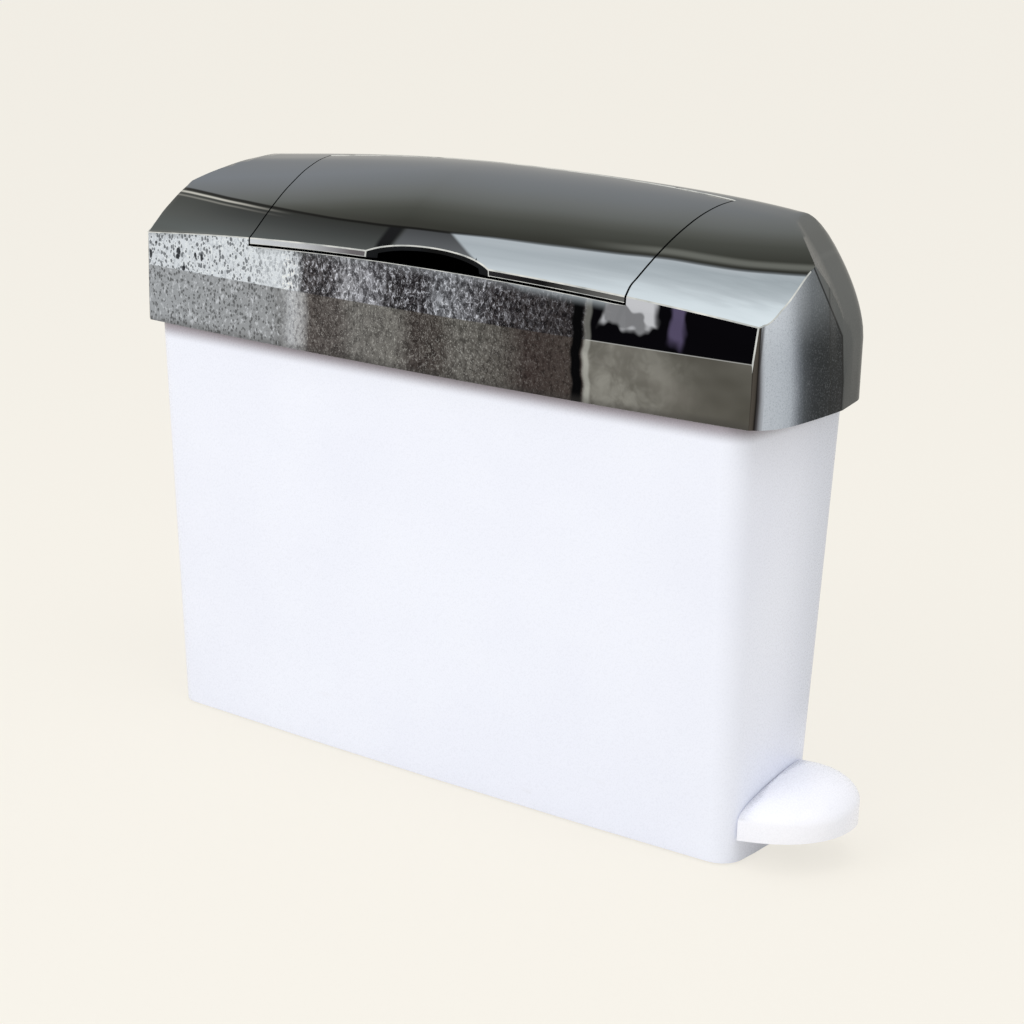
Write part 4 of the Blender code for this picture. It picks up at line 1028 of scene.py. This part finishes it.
def screw_growth():
    """A cross-recessed pan head on a shank; its head faces up before it is turned."""
    made = Growth("Cross-recess screw", ("Head Radius", "Head Height", "Shank Radius", "Shank Length",
                                         "Recess Width", "Tilt"), ["Seed"])
    given = made.given
    height, radius, length = given["Head Height"], given["Head Radius"], given["Shank Length"]
    disc = made.tube(32, radius, height * 0.6)
    cap = made.get("GeometryNodeMeshCone", {"Vertices": 32, "Radius Top": radius * 0.72,
                                            "Radius Bottom": radius, "Depth": height * 0.41})
    head = made.gathered("GeometryNodeMeshBoolean", "Mesh 2",
                         (made.raised(disc, height * 0.3), made.raised(cap, height * 0.59)),
                         operation="UNION", solver="EXACT")
    bars = []
    for size in ((radius * 1.15, given["Recess Width"]), (given["Recess Width"], radius * 1.15)):
        bar = made.get("GeometryNodeMeshCube", {"Size": made.vector(*size, height * 1.1)})
        bars.append(made.raised(bar, height))
    cross = made.gathered("GeometryNodeMeshBoolean", "Mesh 2", bars, {"Mesh 1": head},
                          operation="DIFFERENCE", solver="EXACT")
    shank = made.tube(16, given["Shank Radius"], length)
    screw = made.together(cross, made.raised(shank, length * -0.5))
    spin = made.get("FunctionNodeRandomValue", {3: pi, "Seed": given["Seed"]}, 1, data_type="FLOAT")
    made.grow(screw, made.vector(x=given["Tilt"], z=spin))
    return made


def foot_growth():
    """A rubber pad with raised grip rings on its underside."""
    made = Growth("Rubber foot", ("Radius", "Height", "Ring Radius"), ["Rings"])
    given = made.given
    ring, height, radius = given["Ring Radius"], given["Height"], given["Radius"]
    pad = made.raised(made.tube(48, radius - 0.0002, height - ring), (height + ring) * 0.5)
    centres = made.get("GeometryNodeMeshLine", {
        "Count": given["Rings"], "Start Location": (0, 0, 0), "Offset": (0, 0, 0)})
    share = (made.get("GeometryNodeInputIndex") + 1.0) / given["Rings"]
    wide = share * (radius - ring * 1.5)
    rings = made.get("GeometryNodeInstanceOnPoints", {
        "Points": centres, "Instance": made.circle(40, 1.0), "Scale": made.vector(wide, wide, 1.0)})
    rings = made.get("GeometryNodeRealizeInstances", {"Geometry": rings})
    beads = made.wire(rings, ring, False)
    made.grow(made.together(pad, made.raised(beads, ring)), made.vector())
    return made


def spring_growth():
    """A coil spring that lies along X."""
    made = Growth("Return spring", ("Coil Radius", "Wire Radius", "Length", "Turns"))
    given = made.given
    coil = made.get("GeometryNodeCurveSpiral", {
        "Resolution": 28, "Rotations": given["Turns"], "Start Radius": given["Coil Radius"],
        "End Radius": given["Coil Radius"], "Height": given["Length"]})
    wire = made.wire(coil, given["Wire Radius"], True)
    made.grow(made.moved(wire, turn=(0.0, pi / 2, 0.0)), made.vector())
    return made


# Sizes in the frame that the operators use
post_x, post_y = 0.215, 0.030
post_gap, post_sink = 0.0004, 0.0007
side_gap, rear_gap = 0.0015, 0.0020
grip_radius = 0.0003
wire_radius = 0.00035


class PieceOperator(bpy.types.Operator):
    """An operator that can be undone."""
    bl_options = {"REGISTER", "UNDO"}


class BIN_OT_hood(PieceOperator):
    """Make the chromed hood with its bands, drafted ends, mouth and posts"""
    bl_idname = "bin.hood"
    bl_label = "Hood"

    def execute(self, context):
        look = context.scene.bin_hood
        hood = hood_shell("chromed_hood")
        post_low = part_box("lid_frame")[1][2] + post_gap
        work = bmesh.new()
        for side in (-1, 1):
            place_x = side * post_x
            skin = through(hood_profile(place_x + side * look.post_radius)[2:-2], 8)
            for place_y in (-post_y, post_y):
                top = min(z for y, z in skin if abs(y - place_y) < look.post_radius) - post_sink
                made = bmesh.ops.create_cone(
                    work, cap_ends=True, segments=24, radius1=look.post_radius,
                    radius2=look.post_radius, depth=top - post_low)["verts"]
                bmesh.ops.translate(work, verts=made, vec=(place_x, place_y, (top + post_low) / 2))
        cut(hood, hood_solid("hood_posts", work, inner_slot), "UNION")
        cut(hood, flap_region("hood_mouth", side_gap, rear_gap, side_gap), "DIFFERENCE")
        round_shining_edges(hood, look.edge_round)
        soften(hood, 24)
        soften_shoulders(hood)
        settle(hood)
        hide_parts("hood")
        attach(hood, "hood_unit")
        return {"FINISHED"}


class BIN_OT_flap(PieceOperator):
    """Make the chromed flap skin with its finger notch"""
    bl_idname = "bin.flap"
    bl_label = "Flap"

    def execute(self, context):
        look = context.scene.bin_hood
        flap = hood_shell("chromed_flap")
        cut(flap, flap_region("flap_block", 0.0, 0.0, 0.0), "INTERSECT")
        front = side_half + side_bow
        turns = [pi * i / notch_steps for i in range(notch_steps + 1)]
        ring = [(notch_x + notch_half * cos(turn), -front + notch_depth * sin(turn) ** notch_taper)
                for turn in turns]
        ring += [(notch_x - notch_half, -front - overlap), (notch_x + notch_half, -front - overlap)]
        notch = [[(x, y, z) for x, y in ring] for z in (hood_edge, above_all)]
        cut(flap, loft("finger_notch", notch, inner_slot), "DIFFERENCE")
        round_shining_edges(flap, look.edge_round)
        settle(flap)
        soften(flap, 24)
        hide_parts("flap")
        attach(flap, "flap_unit")
        return {"FINISHED"}


class BIN_OT_body(PieceOperator):
    """Make the white body with softened edges"""
    bl_idname = "bin.body"
    bl_label = "Body"

    def execute(self, context):
        look = context.scene.bin_body
        body = node_copy("bin_body", "white_body", [made_once("white_moulding", white_finish, look)])
        soften(body, 30)
        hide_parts("bin_body")
        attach(body, "body")
        return {"FINISHED"}


class BIN_OT_pedal(PieceOperator):
    """Make the white foot pedal"""
    bl_idname = "bin.pedal"
    bl_label = "Pedal"

    def execute(self, context):
        look = context.scene.bin_body
        pedal = node_copy("pedal", "white_pedal", [made_once("pedal_moulding", pedal_finish, look)])
        soften(pedal, 38)
        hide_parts("pedal")
        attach(pedal, "pedal_arm")
        return {"FINISHED"}


class BIN_OT_works(PieceOperator):
    """Give the inner works their own finishes"""
    bl_idname = "bin.works"
    bl_label = "Inner works"

    def execute(self, context):
        grey_part = moulded_finish(
            "grey_moulding", srgb(104, 107, 112), srgb(84, 87, 92), 0.0009, 0.55)
        pale_part = moulded_finish(
            "pale_moulding", srgb(170, 182, 196), srgb(150, 163, 180), 0.0009, 0.45)
        nylon_part = moulded_finish(
            "natural_nylon", srgb(228, 224, 214), srgb(212, 206, 192), 0.0012, 0.42)
        # The flap's liner is near black: painted shade for the dark opening seen through the finger
        # notch
        liner_painted_shade = moulded_finish(
            "liner_moulding", srgb(30, 31, 34), srgb(20, 21, 24), 0.0010, 0.42)
        finishes = (
            (grey_part, ("base_cover", "bay_partition", "pedal_lever", "lid_frame")),
            (liner_painted_shade, ("flap_liner",)),
            (pale_part, ("modesty_flap", "hinge_bracket_left", "hinge_bracket_right")),
            (nylon_part, ("rod_guide_lower", "rod_guide_upper", "rod_foot", "rod_head",
                          "crank_roller")),
            (steel_finish("drawn_rod", (1.0, 1.0, 0.05)), ("push_rod",)),
            (steel_finish("drawn_steel"), (
                "pedal_axle", "bag_hoop", "hinge_pin_left", "hinge_pin_right", "modesty_pin_left",
                "modesty_pin_right", "roller_pin")),
        )
        for finish, nodes in finishes:
            for node in nodes:
                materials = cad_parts[node].data.materials
                materials.clear()
                materials.append(finish)
        return {"FINISHED"}


class BIN_OT_screws(PieceOperator):
    """Make the cross-recess screws"""
    bl_idname = "bin.screws"
    bl_label = "Screws"

    def execute(self, context):
        look = context.scene.bin_fixings
        growth = screw_growth()
        finish = made_once("screw_steel", steel_finish, "screw_steel", (1.0, 1.0, 1.0))
        sets = (
            ("base_screws", "body", pi, [f"base_screw_{i}" for i in range(1, 5)]),
            ("tread_screws", "pedal_arm", pi, ["tread_screw_1", "tread_screw_2"]),
            ("frame_screws", "hood_unit", pi, [f"frame_screw_{i}" for i in range(1, 5)]),
            ("hinge_screws", "hood_unit", 0.0, ["hinge_screw_left", "hinge_screw_right"]),
        )
        for name, body, tilt, nodes in sets:
            places = []
            for node in nodes:
                low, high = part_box(node)
                seat = low[2] + look.head_height if tilt else high[2] - look.head_height
                places.append((*middle(low, high)[:2], seat))
            low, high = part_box(nodes[0])
            piece = growth.use(name, places, {
                "Head Radius": look.head_radius, "Head Height": look.head_height,
                "Shank Radius": look.shank_radius,
                "Shank Length": high[2] - low[2] - look.head_height,
                "Recess Width": look.recess_width, "Tilt": tilt, "Seed": 4, "Finish": finish})
            soften(piece, 30)
            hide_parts(*nodes)
            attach(piece, body)
        return {"FINISHED"}


class BIN_OT_feet(PieceOperator):
    """Make the rubber feet with their grip rings"""
    bl_idname = "bin.feet"
    bl_label = "Feet"

    def execute(self, context):
        look = context.scene.bin_fixings
        nodes = [f"base_foot_{i}" for i in range(1, 5)]
        places = []
        for node in nodes:
            low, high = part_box(node)
            places.append((*middle(low, high)[:2], low[2]))
        piece = foot_growth().use("rubber_feet", places, {
            "Radius": (high[0] - low[0]) / 2, "Height": high[2] - low[2], "Ring Radius": grip_radius,
            "Rings": look.grip_rings, "Finish": made_once("foot_rubber", rubber_finish)})
        soften(piece, 40)
        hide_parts(*nodes)
        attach(piece, "body")
        return {"FINISHED"}


class BIN_OT_springs(PieceOperator):
    """Make the two return springs of the modesty flap"""
    bl_idname = "bin.springs"
    bl_label = "Springs"

    def execute(self, context):
        look = context.scene.bin_fixings
        nodes = ["modesty_spring_left", "modesty_spring_right"]
        places = []
        for node in nodes:
            low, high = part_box(node)
            places.append((low[0] + wire_radius, *middle(low, high)[1:]))
        piece = spring_growth().use("return_springs", places, {
            "Coil Radius": (high[1] - low[1]) / 2 - wire_radius,
            "Wire Radius": wire_radius,
            "Length": high[0] - low[0] - wire_radius * 2, "Turns": float(look.spring_turns),
            "Finish": made_once("spring_steel", steel_finish, "spring_steel", (1.0, 1.0, 1.0))})
        soften(piece, 40)
        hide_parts(*nodes)
        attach(piece, "hood_unit")
        return {"FINISHED"}


# The stage, and the camera as it was fitted to the photograph's edges
camera_yaw, camera_pitch, camera_roll = radians(36.063), radians(14.956), radians(1.598)
camera_aim = (-0.003063, 0.020348, 0.209737)
camera_distance = 1.717598
camera_lens = 81.59
camera_shift = (0.01809, -0.02846)
lamp_aim = Vector((0.0, 0.0, 0.2))
floor_glow = 0.80


def seen_share(made):
    """One where a surface is looked at, straight or in a mirror, and none where it only lights."""
    path = made.add("ShaderNodeLightPath").outputs
    looked_at = made.math("ADD", path["Is Camera Ray"], path["Is Glossy Ray"])
    return made.math("ADD", looked_at, path["Is Transmission Ray"], clamp=True)


class BIN_OT_stage(PieceOperator):
    """Make the floor, the lamps, the sky and the camera"""
    bl_idname = "bin.stage"
    bl_label = "Stage"

    def execute(self, context):
        look = context.scene.bin_stage
        mesh = bpy.data.meshes.new("floor")
        half = look.floor_size / 2
        mesh.from_pydata([(-half, -half, 0), (half, -half, 0), (half, half, 0), (-half, half, 0)], [],
                         [(0, 1, 2, 3)])
        floor = new_piece("floor", mesh)
        made = Finish("floor_paper")
        paler = [value * 0.97 for value in look.floor_colour[:3]] + [1.0]
        paper = made.blend(made.noise(0.004, 3.0), look.floor_colour, paler)
        made.finish(paper, 0.9, Specular_IOR_Level=0.1)
        glow = made.get("ShaderNodeEmission", {"Color": look.floor_colour})
        mixed = made.get("ShaderNodeMixShader", {
            0: seen_share(made) * floor_glow, 1: made.shader.outputs[0], 2: glow})
        made.join(mixed, made.tree.nodes["Material Output"].inputs["Surface"])
        floor.data.materials.append(made.material)

        world = bpy.data.worlds.new("soft_sky")
        world.use_nodes = True
        world.node_tree.nodes.clear()
        sky = Nodes(world.node_tree)
        even = sky.get("ShaderNodeBackground", {"Color": (1.0, 1.0, 1.0, 1.0), "Strength": look.sky})
        backdrop = sky.get("ShaderNodeBackground", {"Color": look.floor_colour, "Strength": 1.0})
        mixed = sky.get("ShaderNodeMixShader", {0: seen_share(sky), 1: even, 2: backdrop})
        sky.add("ShaderNodeOutputWorld", {"Surface": mixed})
        context.scene.world = world

        for name, place, size, power in (
            ("key_lamp", (-0.7, -2.4, 1.9), 2.2, look.key_power),
            ("side_lamp", (0.75, -0.30, 2.2), 1.2, look.side_power),
        ):
            lamp = bpy.data.lights.new(name, "AREA")
            lamp.shape = "DISK"
            lamp.size = size
            lamp.energy = power
            holder = new_piece(name, lamp)
            holder.location = place
            holder.rotation_euler = (lamp_aim - Vector(place)).to_track_quat("-Z", "Y").to_euler()
            holder.visible_glossy = False

        camera = new_piece("camera", bpy.data.cameras.new("camera"))
        camera.data.sensor_width = 36.0
        camera.data.lens = camera_lens
        camera.data.shift_x, camera.data.shift_y = camera_shift
        back = Vector((sin(camera_yaw) * cos(camera_pitch), -cos(camera_yaw) * cos(camera_pitch),
                       sin(camera_pitch)))
        level = Vector((cos(camera_yaw), sin(camera_yaw), 0.0))
        raised = back.cross(level)
        right = level * cos(camera_roll) + raised * sin(camera_roll)
        up = raised * cos(camera_roll) - level * sin(camera_roll)
        turned = Matrix((right, up, back)).transposed().to_4x4()
        turned.translation = Vector((middle_x, 0, 0)) + Vector(camera_aim) + back * camera_distance
        camera.matrix_world = turned
        context.scene.camera = camera

        context.scene.view_settings.view_transform = "Standard"
        return {"FINISHED"}


class BIN_PT_panel(bpy.types.Panel):
    """The bin's pieces and settings"""
    bl_idname = "BIN_PT_panel"
    bl_label = "Pedal Bin"
    bl_space_type = "VIEW_3D"
    bl_region_type = "UI"
    bl_category = "Bin"

    def draw(self, context):
        for name in ("bin_hood", "bin_body", "bin_fixings", "bin_stage"):
            settings = getattr(context.scene, name)
            for field in settings.__annotations__:
                self.layout.prop(settings, field)
        for operator in operators:
            self.layout.operator(operator.bl_idname)


operators = (BIN_OT_hood, BIN_OT_flap, BIN_OT_body, BIN_OT_pedal, BIN_OT_works, BIN_OT_screws,
             BIN_OT_feet, BIN_OT_springs, BIN_OT_stage)
groups = {"bin_hood": HoodSettings, "bin_body": BodySettings, "bin_fixings": FixingSettings,
          "bin_stage": StageSettings}


def register():
    for kind in (*groups.values(), *operators, BIN_PT_panel):
        bpy.utils.register_class(kind)
    for name, kind in groups.items():
        setattr(bpy.types.Scene, name, bpy.props.PointerProperty(type=kind))


def unregister():
    for name in groups:
        delattr(bpy.types.Scene, name)
    for kind in (BIN_PT_panel, *reversed(operators), *reversed(groups.values())):
        bpy.utils.unregister_class(kind)


def main():
    register()
    for operator in operators:
        family, name = operator.bl_idname.split(".")
        getattr(getattr(bpy.ops, family), name)()


if __name__ == "__main__":
    main()
